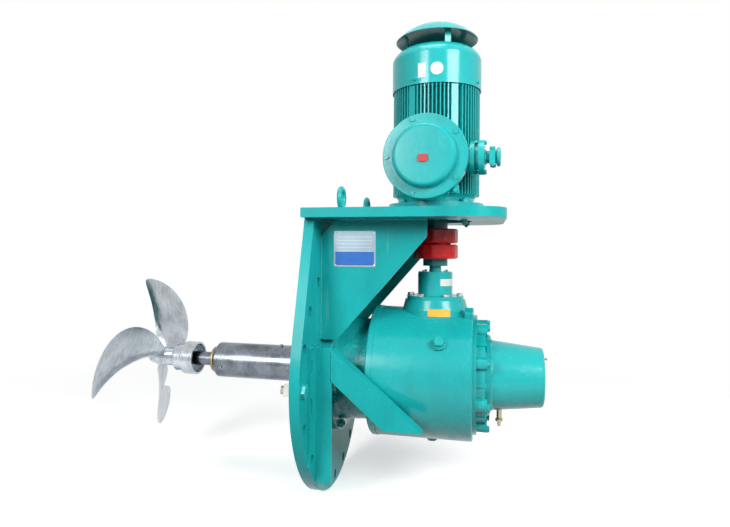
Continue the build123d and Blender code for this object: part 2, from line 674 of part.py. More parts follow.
def grease_nipple():
    """Nipple in the cap's nose."""
    return turned_local(CONE_X1, NIPPLE_Z, ((-6, 0), (-6, 3), (0, 3), (0, 6), (4, 6), (4, 3), (7, 3), (9,
                        4.2),
                                            (12, 3), (13, 0)))


def turned_local(x, z, points):
    """Solid of revolution about a line parallel to X."""
    return Pos(x, 0, z) * revolve(Plane.XZ * make_face(Polyline(*points, close=True)), Axis.X)


def drain_cock():
    """Short pipe under the cap with a hexagon body and a tapered spout."""
    top = -CONE_R0 + 8
    pipe = rod_z(DRAIN_PIPE_R, top - 36, top + 4, x=DRAIN_PIPE_X)
    body = Pos(DRAIN_PIPE_X, 0, top - 44) * hex_head(20, 9)
    spout = Pos(DRAIN_PIPE_X, 0, top - 60) * Cone(4.5, 6.5, 16, align=LOW)
    screw = rod_y(3, -16, 0, x=DRAIN_PIPE_X, z=top - 40) + rod_y(5.5, -18, -13, x=DRAIN_PIPE_X, z=top - 40)
    return pipe + body + spout + screw


# ---------------------------------------------------------------- input side
INPUT_SEAT_R = 22.5
INPUT_OUTER_R = 42.5
INPUT_BEARING_W = 19.0
INPUT_TOP_Z = CARTRIDGE_TOP_Z - 6 - INPUT_BEARING_W
INPUT_LOW_Z = BOSS_TOP_Z - 40
CARTRIDGE_CAP_T = 6.0


def input_cartridge():
    """Sleeve that holds the input shaft's bearings, bolted on the boss."""
    z0, z1 = BOSS_TOP_Z, CARTRIDGE_TOP_Z
    low = INPUT_LOW_Z
    sleeve = turned_z((INPUT_OUTER_R, low), (CARTRIDGE_BORE_R, low), (CARTRIDGE_BORE_R, z0),
                      (CARTRIDGE_FLANGE_R, z0), (CARTRIDGE_FLANGE_R, z0 + CARTRIDGE_FLANGE_T - 1.5),
                      (CARTRIDGE_FLANGE_R - 1.5, z0 + CARTRIDGE_FLANGE_T), (CARTRIDGE_R + 3,
                              z0 + CARTRIDGE_FLANGE_T),
                      (CARTRIDGE_R, z0 + CARTRIDGE_FLANGE_T + 3), (CARTRIDGE_R, z1), (INPUT_OUTER_R, z1),
                      (INPUT_OUTER_R, INPUT_TOP_Z), (INPUT_OUTER_R - 5, INPUT_TOP_Z),
                      (INPUT_OUTER_R - 5, low + INPUT_BEARING_W), (INPUT_OUTER_R, low + INPUT_BEARING_W))
    hole = rod_z(CARTRIDGE_SCREW_R, z0 - 1, z0 + CARTRIDGE_FLANGE_T + 1, x=MOTOR_X + CARTRIDGE_BOLT_R)
    tap = rod_z(CAP_SCREW_R, z1 - 12, z1 + 1, x=MOTOR_X + CARTRIDGE_CAP_AT)
    return sleeve - around_motor(hole, CARTRIDGE_BOLTS) - around_motor(tap, 4, 45)


CARTRIDGE_CAP_AT = 48.5


def cartridge_bolts():
    seat = BOSS_TOP_Z + CARTRIDGE_FLANGE_T
    one = Pos(MOTOR_X + CARTRIDGE_BOLT_R, 0, seat) * bolt(2 * CARTRIDGE_SCREW_R, CARTRIDGE_FLANGE_T, 20)
    return around_motor(one, CARTRIDGE_BOLTS)


def cartridge_cap():
    """Thin cap over the upper bearing, with the lip of the oil seal."""
    z0 = CARTRIDGE_TOP_Z
    cap = turned_z((COUPLED_R + 1.5, z0), (CARTRIDGE_R - 1, z0), (CARTRIDGE_R - 1, z0 + CARTRIDGE_CAP_T),
                   (COUPLED_R + 1.5, z0 + CARTRIDGE_CAP_T))
    hole = rod_z(CAP_SCREW_R, z0 - 1, z0 + CARTRIDGE_CAP_T + 1, x=MOTOR_X + CARTRIDGE_CAP_AT)
    return cap - around_motor(hole, 4, 45)


def input_shaft():
    """Stepped vertical shaft from the coupling down to the pinion."""
    low, top = INPUT_LOW_Z, INPUT_TOP_Z + INPUT_BEARING_W
    end = COUPLING_MID_Z - COUPLING_GAP / 2 - CAVITY_D - 2
    return turned_z((0, PINION_END_Z), (PINION_SEAT_R, PINION_END_Z), (PINION_SEAT_R, PINION_TOP_Z),
                    (INPUT_SEAT_R, PINION_TOP_Z), (INPUT_SEAT_R, low + INPUT_BEARING_W),
                    (INPUT_SEAT_R + 5, low + INPUT_BEARING_W), (INPUT_SEAT_R + 5, INPUT_TOP_Z),
                    (INPUT_SEAT_R, INPUT_TOP_Z), (INPUT_SEAT_R, top), (COUPLED_R, top), (COUPLED_R,
                            end), (0, end))


PINION_END_Z = 96.0
PINION_TOP_Z = GEAR_PITCH_R + 1.0 * MODULE * PINION_TEETH / math.hypot(PINION_TEETH, GEAR_TEETH) + 16


# ---------------------------------------------------------------- coupling
def sector(r0, r1, half_angle, z0, z1):
    """Block of a ring about the Z axis, centred on +X."""
    a = math.radians(half_angle)
    inner = ThreePointArc((r0 * math.cos(a), -r0 * math.sin(a)), (r0, 0), (r0 * math.cos(a),
                          r0 * math.sin(a)))
    outer = ThreePointArc((r1 * math.cos(a), -r1 * math.sin(a)), (r1, 0), (r1 * math.cos(a),
                          r1 * math.sin(a)))
    sides = [Line(inner @ 0, outer @ 0), Line(inner @ 1, outer @ 1)]
    return Pos(0, 0, z0) * extrude(make_face([inner, outer] + sides), z1 - z0)


def coupling_half():
    """One half, its face at z = 0 and its hub above: twelve-sided rim, cavity and three jaws."""
    rim = extrude(RegularPolygon(COUPLING_R / math.cos(math.pi / 12), 12), COUPLING_H)
    rim = rim & chamfer(Cylinder(COUPLING_R + 1.2, COUPLING_H, align=LOW).edges(), 4)
    hub = Pos(0, 0, COUPLING_H) * Cylinder(HUB_R, HUB_EXTRA, align=LOW)
    jaw = sector(SPIDER_HUB_R + 1, CAVITY_R - FREE_GAP, JAW_HALF, -JAW_REACH, CAVITY_D)
    jaw += sector(SPIDER_HUB_R + 1, CAVITY_R + 1, JAW_HALF, 0, CAVITY_D)
    jaws = [Rot(0, 0, 120 * k) * jaw for k in range(3)]
    body = rim + hub - Cylinder(CAVITY_R, CAVITY_D, align=LOW) - Cylinder(COUPLED_R, 200)
    return body + jaws


HUB_EXTRA = 23.0
UPPER_HUB_EXTRA = 17.0
JAW_REACH = COUPLING_GAP + CAVITY_D - 2.5


def coupling_upper():
    face = COUPLING_MID_Z + COUPLING_GAP / 2
    collar = Pos(0, 0, COUPLING_H + HUB_EXTRA) * (
        Cylinder(HUB_R, UPPER_HUB_EXTRA, align=LOW) - Cylinder(COUPLED_R, 100))
    return Pos(MOTOR_X, 0, face) * (coupling_half() + collar)


def coupling_lower():
    face = COUPLING_MID_Z - COUPLING_GAP / 2
    return Pos(MOTOR_X, 0, face) * Rot(0, 0, 60) * mirror(coupling_half(), Plane.XY)


def coupling_spider():
    """Rubber star between the jaws: a ring with six legs."""
    z0 = COUPLING_MID_Z - COUPLING_GAP / 2 - CAVITY_D
    height = 2 * CAVITY_D + COUPLING_GAP - 3
    leg_half = (60 - 2 * JAW_HALF) / 2 - 0.7
    ring = Cylinder(SPIDER_HUB_R, height, align=LOW) - Cylinder(COUPLED_R + 2, 100)
    legs = [Rot(0, 0, 30 + 60 * k) * sector(SPIDER_HUB_R - 2, CAVITY_R - 1.5, leg_half, 0,
            height) for k in range(6)]
    return Pos(MOTOR_X, 0, z0) * (ring + legs)


# ---------------------------------------------------------------- motor
MOTOR_BEARING_R = 40.0
MOTOR_BEARING_W = 18.0
LOW_BEARING_Z = TOP_FACE_Z + 14.0
HIGH_BEARING_Z = FRAME_Z1 - 14.0


def motor_lower_shield():
    """Mounting flange and lower bearing housing in one casting."""
    z0 = TOP_FACE_Z
    shield = turned_z((MOTOR_BEARING_R, z0 - SPIGOT_T), (SPIGOT_R, z0 - SPIGOT_T), (SPIGOT_R, z0),
                      (FLANGE_R, z0),
                      (FLANGE_R, z0 + FLANGE_T), (118, z0 + FLANGE_T), (122, FRAME_Z0 - 9), (FIN_R - 8,
                              FRAME_Z0),
                      (MOTOR_BORE_R, FRAME_Z0), (MOTOR_BORE_R - 12, FRAME_Z0 - 14),
                      (60, LOW_BEARING_Z + MOTOR_BEARING_W + 4), (MOTOR_BEARING_R,
                              LOW_BEARING_Z + MOTOR_BEARING_W))
    lip = turned_z((MOTOR_SHAFT_R + 2, z0 - SPIGOT_T), (MOTOR_BEARING_R + 1, z0 - SPIGOT_T),
                   (MOTOR_BEARING_R + 1, LOW_BEARING_Z), (MOTOR_SHAFT_R + 2, LOW_BEARING_Z))
    hole = rod_z(FLANGE_BOLT / 2 + HOLE_GAP, z0 - 1, z0 + FLANGE_T + 8, x=MOTOR_X + FLANGE_BOLT_R)
    return shield + lip - around_motor(hole, 4, 45)


def motor_mount_bolts():
    """Studs through the motor flange and the top plate, with a nut at each end."""
    grip = TOP_T + FLANGE_T
    stud = Pos(0, 0, TOP_Z - 16) * Cylinder(FLANGE_BOLT / 2, grip + 30, align=LOW)
    nut = hex_head(19, 10)
    one = Pos(MOTOR_X + FLANGE_BOLT_R, 0, 0) * (stud + Pos(0, 0, TOP_Z - 10) * nut
                                                + Pos(0, 0, TOP_FACE_Z + FLANGE_T) * nut)
    return around_motor(one, 4, 45)


def motor_frame():
    """Finned tube: fine cooling fins between plain bands, with a pad for the terminal box."""
    section = Circle(MOTOR_TUBE_R)
    fin = Pos(FIN_R / 2, 0) * Rectangle(FIN_R, FIN_T)
    band = Pos(FIN_R / 2 - 1, 0) * Rectangle(FIN_R - 2, BAND_W)
    clear = math.degrees((BAND_W / 2 + FIN_T) / FIN_R)
    count = round(360 / FIN_PITCH)
    for k in range(count):
        angle = k * FIN_PITCH
        if all(abs((angle - b + 180) % 360 - 180) > clear for b in BAND_ANGLES):
            section += Rot(0, 0, angle) * fin
    for angle in BAND_ANGLES:
        section += Rot(0, 0, angle) * band
    section -= Circle(MOTOR_BORE_R)
    body = Pos(MOTOR_X, 0, FRAME_Z0) * extrude(section, MOTOR_FRAME_H)
    ends = [turned_z((MOTOR_BORE_R, z), (FIN_R - 8, z), (FIN_R - 8, z + 12), (MOTOR_BORE_R, z + 12))
            for z in (FRAME_Z0, FRAME_Z1 - 12)]
    pad = box_frame() * (Pos(0, 0, 90) * Cylinder(74, BOX_BACK - 90, align=LOW))
    body = body + ends + (pad - rod_z(MOTOR_BORE_R, FRAME_Z0, FRAME_Z1))
    return body - box_frame() * (Pos(0, 0, 90) * Cylinder(30, BOX_BACK - 80, align=LOW))


def stator_core():
    z0, z1 = CORE_Z0, CORE_Z0 + CORE_H
    return turned_z((STATOR_BORE_R, z0), (MOTOR_BORE_R, z0), (MOTOR_BORE_R, z1), (STATOR_BORE_R, z1))


def stator_windings():
    """End turns above and below the core."""
    for z0 in (CORE_Z0 - 30, CORE_Z0 + CORE_H):
        yield turned_z((STATOR_BORE_R + 5, z0), (STATOR_BORE_R + 28, z0), (STATOR_BORE_R + 32, z0 + 8),
                       (STATOR_BORE_R + 32, z0 + 30), (STATOR_BORE_R + 5, z0 + 30))


def motor_shaft():
    """Shaft from the coupling up to the fan."""
    end = COUPLING_MID_Z + COUPLING_GAP / 2 + CAVITY_D + 2
    low, high = LOW_BEARING_Z, HIGH_BEARING_Z
    return turned_z((0, end), (COUPLED_R, end), (COUPLED_R, low - 10), (MOTOR_SHAFT_R, low - 10),
                    (MOTOR_SHAFT_R, low + MOTOR_BEARING_W), (MOTOR_SHAFT_R + 5, low + MOTOR_BEARING_W),
                    (MOTOR_SHAFT_R + 5, high), (MOTOR_SHAFT_R, high), (MOTOR_SHAFT_R,
                            high + MOTOR_BEARING_W + 8),
                    (FAN_BORE_R, high + MOTOR_BEARING_W + 8), (FAN_BORE_R, FAN_Z + 34), (0, FAN_Z + 34))


FAN_BORE_R = 15.0
FAN_Z = FRAME_Z1 + 26.0


def rotor_core():
    z0, z1 = CORE_Z0, CORE_Z0 + CORE_H
    radius = STATOR_BORE_R - AIR_GAP
    return turned_z((MOTOR_SHAFT_R + 5, z0 - 12), (radius - 8, z0 - 12), (radius - 8, z0), (radius, z0),
                    (radius, z1),
                    (radius - 8, z1), (radius - 8, z1 + 12), (MOTOR_SHAFT_R + 5, z1 + 12))


def motor_fan():
    """Radial fan: hub, disc and straight blades."""
    disc = Pos(0, 0, FAN_Z) * Cylinder(FAN_R, 3, align=LOW)
    hub = Pos(0, 0, FAN_Z) * Cylinder(26, 30, align=LOW)
    vane = Pos(24, 0, FAN_Z) * Box(FAN_R - 26, 3, 30, align=(Align.MIN, Align.CENTER, Align.MIN))
    fan = disc + hub + [Rot(0, 0, 60 * k) * vane for k in range(6)] - Cylinder(FAN_BORE_R, 4000)
    return Pos(MOTOR_X, 0, 0) * fan


def motor_upper_shield():
    """Disc that closes the frame under the fan, with the upper bearing's seat."""
    z1 = FRAME_Z1 + 10
    return turned_z((MOTOR_BEARING_R, HIGH_BEARING_Z), (64, HIGH_BEARING_Z), (70, FRAME_Z1), (FIN_R - 8,
                    FRAME_Z1),
                    (FIN_R - 8, z1), (MOTOR_SHAFT_R + 2, z1), (MOTOR_SHAFT_R + 2,
                            HIGH_BEARING_Z + MOTOR_BEARING_W),
                    (MOTOR_BEARING_R, HIGH_BEARING_Z + MOTOR_BEARING_W))


def cowl_profile(inset):
    """Side, rounded shoulder and mouth of the cowl, as a filled outline."""
    r, mouth = COWL_R - inset, COWL_MOUTH_R - inset
    z0, zs, z1 = FRAME_Z1 - COWL_LAP, COWL_SHOULDER_Z, COWL_TOP_Z - inset
    bulge = (r - 0.36 * (r - mouth), zs + 0.66 * (z1 - zs))
    return make_face([Line((0, z0), (r, z0)), Line((r, z0), (r, zs)), ThreePointArc((r, zs), bulge, (mouth,
                     z1)),
                      Line((mouth, z1), (0, z1)), Line((0, z1), (0, z0))])


def fan_cowl():
    """Pressed cowl, open below, with a grille in its mouth and spacers onto the shield."""
    outer = revolve(Plane.XZ * cowl_profile(0), Axis.Z)
    inner = revolve(Plane.XZ * cowl_profile(COWL_T), Axis.Z)
    mouth = Cylinder(COWL_MOUTH_R - 16, 2 * COWL_TOP_Z)
    grille = Circle(COWL_MOUTH_R - 12)
    for radius in range(22, int(COWL_MOUTH_R) - 16, 16):
        grille -= Circle(radius + 6) - Circle(radius - 6)
    spokes = Rectangle(6, 2 * (COWL_MOUTH_R - 14)) + Rectangle(2 * (COWL_MOUTH_R - 14), 6)
    grille = Pos(0, 0, COWL_TOP_Z - COWL_T) * extrude(grille + spokes, COWL_T)
    lug = Pos(0, 0, FRAME_Z1) * Box(COWL_R - COWL_T / 2, 16, 10, align=(Align.MIN, Align.CENTER, Align.MIN))
    lug -= Cylinder(FIN_R - 8, 4 * FRAME_Z1)
    shell = outer - inner - mouth + grille + [Rot(0, 0, 45 + 90 * k) * lug for k in range(4)]
    return Pos(MOTOR_X, 0, 0) * shell


def dome(radius, rise, base):
    """Spherical cap as a solid of revolution about the motor axis."""
    sphere_r = (radius * radius + rise * rise) / (2 * rise)
    middle = radius / 2
    arc = ThreePointArc((radius, base), (middle,
                        base + rise - sphere_r + math.sqrt(sphere_r ** 2 - middle ** 2)),
                        (0, base + rise))
    return revolve(Plane.XZ * make_face([arc, Line((0, base + rise), (0, base)), Line((0, base), (radius,
                   base))]), Axis.Z)


def rain_canopy():
    """Domed sheet over the fan inlet."""
    shell = dome(CANOPY_R, CANOPY_RISE, CANOPY_Z) - dome(CANOPY_R - CANOPY_T, CANOPY_RISE - CANOPY_T,
                                                         CANOPY_Z)
    return Pos(MOTOR_X, 0, 0) * shell


def canopy_posts():
    """Flat posts from the cowl's rim up to the underside of the canopy."""
    reach = COWL_MOUTH_R - POST_T - 4
    post = Pos(reach, 0, COWL_TOP_Z) * Box(POST_T, POST_W, 200, align=(Align.MIN, Align.CENTER, Align.MIN))
    under = dome(CANOPY_R - CANOPY_T, CANOPY_RISE - CANOPY_T, CANOPY_Z) + Pos(0, 0,
            CANOPY_Z - 100) * Cylinder(
        CANOPY_R - CANOPY_T, 100, align=LOW)
    return [Pos(MOTOR_X, 0, 0) * (Rot(0, 0,
            POST_ANGLE + 360 * k / POSTS) * post & under) for k in range(POSTS)]


POST_ANGLE = -65.0


# ---------------------------------------------------------------- terminal box
def box_frame():
    """Place of the terminal box: its Z axis runs out from the motor axis."""
    a = math.radians(BOX_TURN)
    out = Vector(-math.sin(a), -math.cos(a), 0)
    return Plane(origin=(MOTOR_X, 0, BOX_Z), x_dir=(math.cos(a), -math.sin(a), 0), z_dir=out).location


def terminal_box():
    """Round box: a neck on the motor's pad, a drum and the flange for its cover."""
    body = revolve(Plane.XZ * make_face(Polyline(
        (30, BOX_BACK), (70, BOX_BACK), (72, BOX_BACK + 3), (BOX_R - 6, BOX_BACK + 5), (BOX_R,
                BOX_BACK + 12),
        (BOX_R, BOX_FACE - 18), (BOX_FLANGE_R, BOX_FACE - 15), (BOX_FLANGE_R, BOX_FACE), (BOX_R - 10,
                BOX_FACE),
        (BOX_R - 10, BOX_BACK + 15), (30, BOX_BACK + 12), close=True)), Axis.Z)
    start = BOX_R - 16
    stub = Cylinder(38, ENTRY_FACE - start, align=LOW) - Cylinder(16, ENTRY_FACE - start, align=LOW)
    passage = Cylinder(16, ENTRY_FACE - start, align=LOW)
    body = body - Pos(start, 0, ENTRY_AT) * Rot(0, 90, 0) * passage
    body = body + Pos(start, 0, ENTRY_AT) * Rot(0, 90, 0) * stub
    body -= [Rot(0, 0, a) * Pos(COVER_BOLT_R, 0, BOX_FACE - 14) * Cylinder(4, 20,
             align=LOW) for a in cover_bolt_angles()]
    return box_frame() * body


ENTRY_FACE = 123.0


def cover_bolt_angles():
    return [180 + 360.0 * k / COVER_BOLTS for k in range(COVER_BOLTS)]


def terminal_cover():
    """Round cover with a raised, rounded centre."""
    z0 = BOX_FACE
    top = z0 + COVER_T
    r, h = COVER_DOME_R, COVER_DOME_H
    cover = revolve(Plane.XZ * make_face(Polyline(
        (0, z0), (BOX_FLANGE_R, z0), (BOX_FLANGE_R, top - 2), (BOX_FLANGE_R - 2, top), (r, top),
        (r - 2, top + 0.55 * h), (r - 5, top + 0.82 * h), (r - 9, top + 0.95 * h), (r - 14, top + h),
        (0, top + h), close=True)), Axis.Z)
    cover -= [Rot(0, 0, a) * Pos(COVER_BOLT_R, 0, z0 - 1) * Cylinder(4 + HOLE_GAP, 20,
              align=LOW) for a in cover_bolt_angles()]
    return box_frame() * cover


def terminal_cover_bolts():
    one = Pos(COVER_BOLT_R, 0, BOX_FACE + COVER_T) * bolt(8, COVER_T, 12, head=4)
    return [box_frame() * (Rot(0, 0, a) * one) for a in cover_bolt_angles()]


def entry_axis(shape):
    """Moves a shape from the Z axis to the cable entry, pointing away from the box."""
    return box_frame() * (Pos(0, 0, ENTRY_AT) * Rot(0, 90, 0) * shape)


def cable_entry():
    """Flanged gland body bolted on the box's stub, with the clamping plate outside."""
    z = ENTRY_FACE
    body = revolve(Plane.XZ * make_face(Polyline(
        (ENTRY_BORE_R, z), (48, z), (48, z + 12), (36, z + 12), (36, z + 24), (50, z + 24), (50,
                z + 40), (34, z + 40),
        (22, z + 42), (18, z + 46), (18, z + 72), (20, z + 72), (26, z + 74), (27, z + 76), (27, z + 82),
        (24, z + ENTRY_L), (ENTRY_BORE_R, z + ENTRY_L), close=True)), Axis.Z)
    body -= [Pos(0, s * ENTRY_BOLT_AT, z - 1) * Cylinder(4, 50, align=LOW) for s in (-1, 1)]
    return entry_axis(body)


def entry_bolts():
    """Two bolts through the entry's flanges, with a nut between them."""
    z = ENTRY_FACE
    one = Pos(0, 0, z + 40) * bolt(8, 40, 0) + Pos(0, 0, z + 12) * hex_head(12, 6)
    return [entry_axis(Pos(0, s * ENTRY_BOLT_AT, 0) * one) for s in (-1, 1)]


ENTRY_BOLT_AT = 43.0


def entry_saddle():
    """Two-part saddle round the entry pipe, with its screws."""
    z = ENTRY_FACE + 54
    blocks = Box(12, 52, 16, align=LOW)
    saddle = Pos(0, 0, z) * (Pos(-22, 0, 0) * blocks + Pos(22, 0, 0) * blocks) - Cylinder(18, 4 * z)
    screws = [Pos(0, s * 22, z + 8) * Rot(0, 90, 0) * Cylinder(3, 64) for s in (-1, 1)]
    nuts = [Pos(28, s * 22, z + 8) * Rot(0, 90, 0) * hex_head(10, 5) for s in (-1, 1)]
    return entry_axis(saddle + screws + nuts)


# ---------------------------------------------------------------- rolling bearings
def bearing_x(x0, width, inner, outer):
    """Rings and rollers of a roller bearing about the propeller axis."""
    race_in, race_out = inner + 0.32 * (outer - inner), outer - 0.30 * (outer - inner)
    roller_r = (race_out - race_in) / 2
    outer_ring = turned_x((x0, race_out + RUN_GAP), (x0, outer), (x0 + width, outer), (x0 + width,
                          race_out + RUN_GAP))
    inner_ring = turned_x((x0, inner), (x0, race_in), (x0 + width, race_in), (x0 + width, inner))
    roller = rod_x(roller_r, x0 + 2, x0 + width - 2, z=race_in + roller_r)
    return outer_ring, [inner_ring] + around_x(roller, ROLLERS)


def bearing_z(z0, width, inner, outer):
    """The same bearing about the motor axis."""
    ring, moving = bearing_x(z0, width, inner, outer)
    upright = Pos(MOTOR_X, 0, 0) * Rot(0, -90, 0)
    return upright * ring, [upright * piece for piece in moving]


ROLLERS = 10


def bearing_sets():
    """Outer rings stay with the housings, inner races and rollers turn with each shaft."""
    output = [bearing_x(x, BEARING_W, BEARING_SEAT_R, BEARING_OUTER_R) for x in (FRONT_BEARING_X,
              REAR_BEARING_X)]
    inputs = [bearing_z(z, INPUT_BEARING_W, INPUT_SEAT_R, INPUT_OUTER_R) for z in (INPUT_LOW_Z,
              INPUT_TOP_Z)]
    motor = [bearing_z(z, MOTOR_BEARING_W, MOTOR_SHAFT_R, MOTOR_BEARING_R) for z in (LOW_BEARING_Z,
             HIGH_BEARING_Z)]
    yield "gearbox_outer_rings", [ring for ring, _ in output + inputs]
    yield "motor_outer_rings", [ring for ring, _ in motor]
    for name, pair in (("output_inner_races", output), ("input_inner_races", inputs), ("motor_inner_races",
                       motor)):
        yield name, [piece for _, moving in pair for piece in moving]


# ---------------------------------------------------------------- writing the nodes
NODES = (
    tank_flange, top_plate, lifting_eyes, shaft_tube, tube_bush, seal_neck, neck_bolts, seal_seat,
    seal_rotor, output_shaft, shaft_collar, propeller, propeller_nut, crown_gear, bevel_pinion, gearbox_housing,
    oil_plugs, rear_cover, rear_cover_bolts, end_cap, grease_nipple, drain_cock, input_cartridge, cartridge_bolts,
    cartridge_cap, input_shaft, coupling_upper, coupling_lower, coupling_spider, motor_lower_shield,
    motor_mount_bolts, motor_frame, stator_core, stator_windings, motor_shaft, rotor_core, motor_fan,
    motor_upper_shield, fan_cowl, rain_canopy, canopy_posts, terminal_box, terminal_cover, terminal_cover_bolts,
    cable_entry, entry_bolts, entry_saddle,
)


def paired_nodes():
    """Pieces of the near side and their opposites on the far side."""
    yield "gusset_near", gusset()
    yield "gusset_far", mirrored(gusset())
    yield "angle_bar_near", angle_bar()
    yield "angle_bar_far", mirrored(angle_bar(BAR_FAR_LOW_Z))
    yield "brace_near", brace()
    yield "brace_far", mirrored(brace())


def solids_of(shape):
    """Every solid of a shape, a list or a generator of shapes."""
    if hasattr(shape, "solids"):
        return list(shape.solids())
    return [solid for piece in shape for solid in solids_of(piece)]


def main():
    os.makedirs("parts", exist_ok=True)
    pieces = {build.__name__: build() for build in NODES}
    pieces.update(paired_nodes())
    pieces.update(bearing_sets())
    for name, shape in pieces.items():
        solids = solids_of(shape)
        export_step(solids[0] if len(solids) == 1 else Compound(children=solids), f"parts/{name}.step")


if __name__ == "__main__":
    main()
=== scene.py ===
"""Side entry tank mixer: finishes, fasteners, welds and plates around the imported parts.

Lengths are metres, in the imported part's own frame: +X from the tank to the gearbox, +Z up, -Y towards the
terminal box.
"""

from __future__ import annotations

import json
import logging
import math
from dataclasses import dataclass, replace
from enum import Enum
from typing import Any, Callable, Iterable, Sequence

import bmesh
import bpy
from mathutils import Matrix, Vector

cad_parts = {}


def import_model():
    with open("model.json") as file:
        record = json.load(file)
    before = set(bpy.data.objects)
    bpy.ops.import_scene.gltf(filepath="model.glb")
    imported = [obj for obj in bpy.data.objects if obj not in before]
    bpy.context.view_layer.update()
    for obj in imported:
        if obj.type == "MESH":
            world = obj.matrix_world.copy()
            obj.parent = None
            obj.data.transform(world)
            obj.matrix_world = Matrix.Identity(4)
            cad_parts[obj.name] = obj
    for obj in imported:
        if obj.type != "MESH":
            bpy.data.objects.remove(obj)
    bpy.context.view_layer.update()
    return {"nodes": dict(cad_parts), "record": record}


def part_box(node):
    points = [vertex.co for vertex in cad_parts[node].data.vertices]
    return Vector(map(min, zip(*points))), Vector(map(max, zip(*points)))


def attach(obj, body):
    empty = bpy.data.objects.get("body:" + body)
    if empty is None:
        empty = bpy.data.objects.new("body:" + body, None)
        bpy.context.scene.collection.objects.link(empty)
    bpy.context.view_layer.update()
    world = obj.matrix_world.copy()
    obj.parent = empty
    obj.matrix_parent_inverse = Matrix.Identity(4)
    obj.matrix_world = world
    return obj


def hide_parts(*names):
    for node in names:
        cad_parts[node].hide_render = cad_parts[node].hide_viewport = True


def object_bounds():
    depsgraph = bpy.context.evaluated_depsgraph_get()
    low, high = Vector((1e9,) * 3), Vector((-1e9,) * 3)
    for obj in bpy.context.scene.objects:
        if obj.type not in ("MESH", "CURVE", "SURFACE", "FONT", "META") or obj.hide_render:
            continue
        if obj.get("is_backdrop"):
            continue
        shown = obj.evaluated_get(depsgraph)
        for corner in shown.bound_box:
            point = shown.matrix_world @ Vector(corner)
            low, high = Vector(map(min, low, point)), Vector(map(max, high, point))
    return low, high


LOG = logging.getLogger("mixer")
PEEL_DEPTH = 0.0006
GRAIN_DEPTH = 0.0003
PLASTIC_DEPTH = 0.0002
GRIME = (0.010, 0.150, 0.155)
RUBBED = (0.190, 0.480, 0.480)
PRIMER = (0.10, 0.12, 0.12)
SMOOTH_UNDER = 32.0
LABEL_GAP = 0.0003
LABEL_THICK = 0.0006
Colour = tuple[float, float, float]
Point = tuple[float, float, float]


class Body(Enum):
    """The bodies that pieces ride on."""

    FRAME = "frame"
    OUTPUT = "output_train"
    INPUT = "input_train"
    MOTOR = "motor_rotor"


class Slot(Enum):
    """The record's material slots."""

    TEAL = "teal_paint"
    ZINC = "zinc_steel"
    STAINLESS = "stainless_steel"
    DARK = "dark_steel"
    GEAR = "gear_steel"
    RED = "red_paint"
    RUBBER = "dark_rubber"
    CORE = "core_steel"
    COPPER = "copper_winding"
    PLASTIC = "dark_plastic"
    BRONZE = "bronze"
    BRASS = "brass"


# ------------------------------------------------------------------------------------------ shader building
class Value:
    """A shader socket that takes part in Python arithmetic by adding Math nodes."""

    def __init__(self, graph: "Graph", socket: Any) -> None:
        """Wraps one output socket of a graph."""
        self.graph = graph
        self.socket = socket

    def _math(self, operation: str, first: Any, second: Any = None) -> "Value":
        """Adds a Math node.

        Args:
            operation: the Math node's operation.
            first: the first operand, a Value or a number.
            second: the second operand, if the operation has one.

        Returns:
            The node's result.
        """
        inputs = {0: first} if second is None else {0: first, 1: second}
        return self.graph.add("ShaderNodeMath", {"operation": operation}, inputs)

    def __add__(self, other: Any) -> "Value":
        """Sum."""
        return self._math("ADD", self, other)

    __radd__ = __add__

    def __mul__(self, other: Any) -> "Value":
        """Product."""
        return self._math("MULTIPLY", self, other)

    __rmul__ = __mul__

    def __sub__(self, other: Any) -> "Value":
        """Difference."""
        return self._math("SUBTRACT", self, other)

    def __gt__(self, other: Any) -> "Value":
        """One where the value is greater, else zero."""
        return self._math("GREATER_THAN", self, other)

    def clamped(self) -> "Value":
        """The value held between 0 and 1."""
        return self.graph.add("ShaderNodeClamp", {}, {"Value": self})


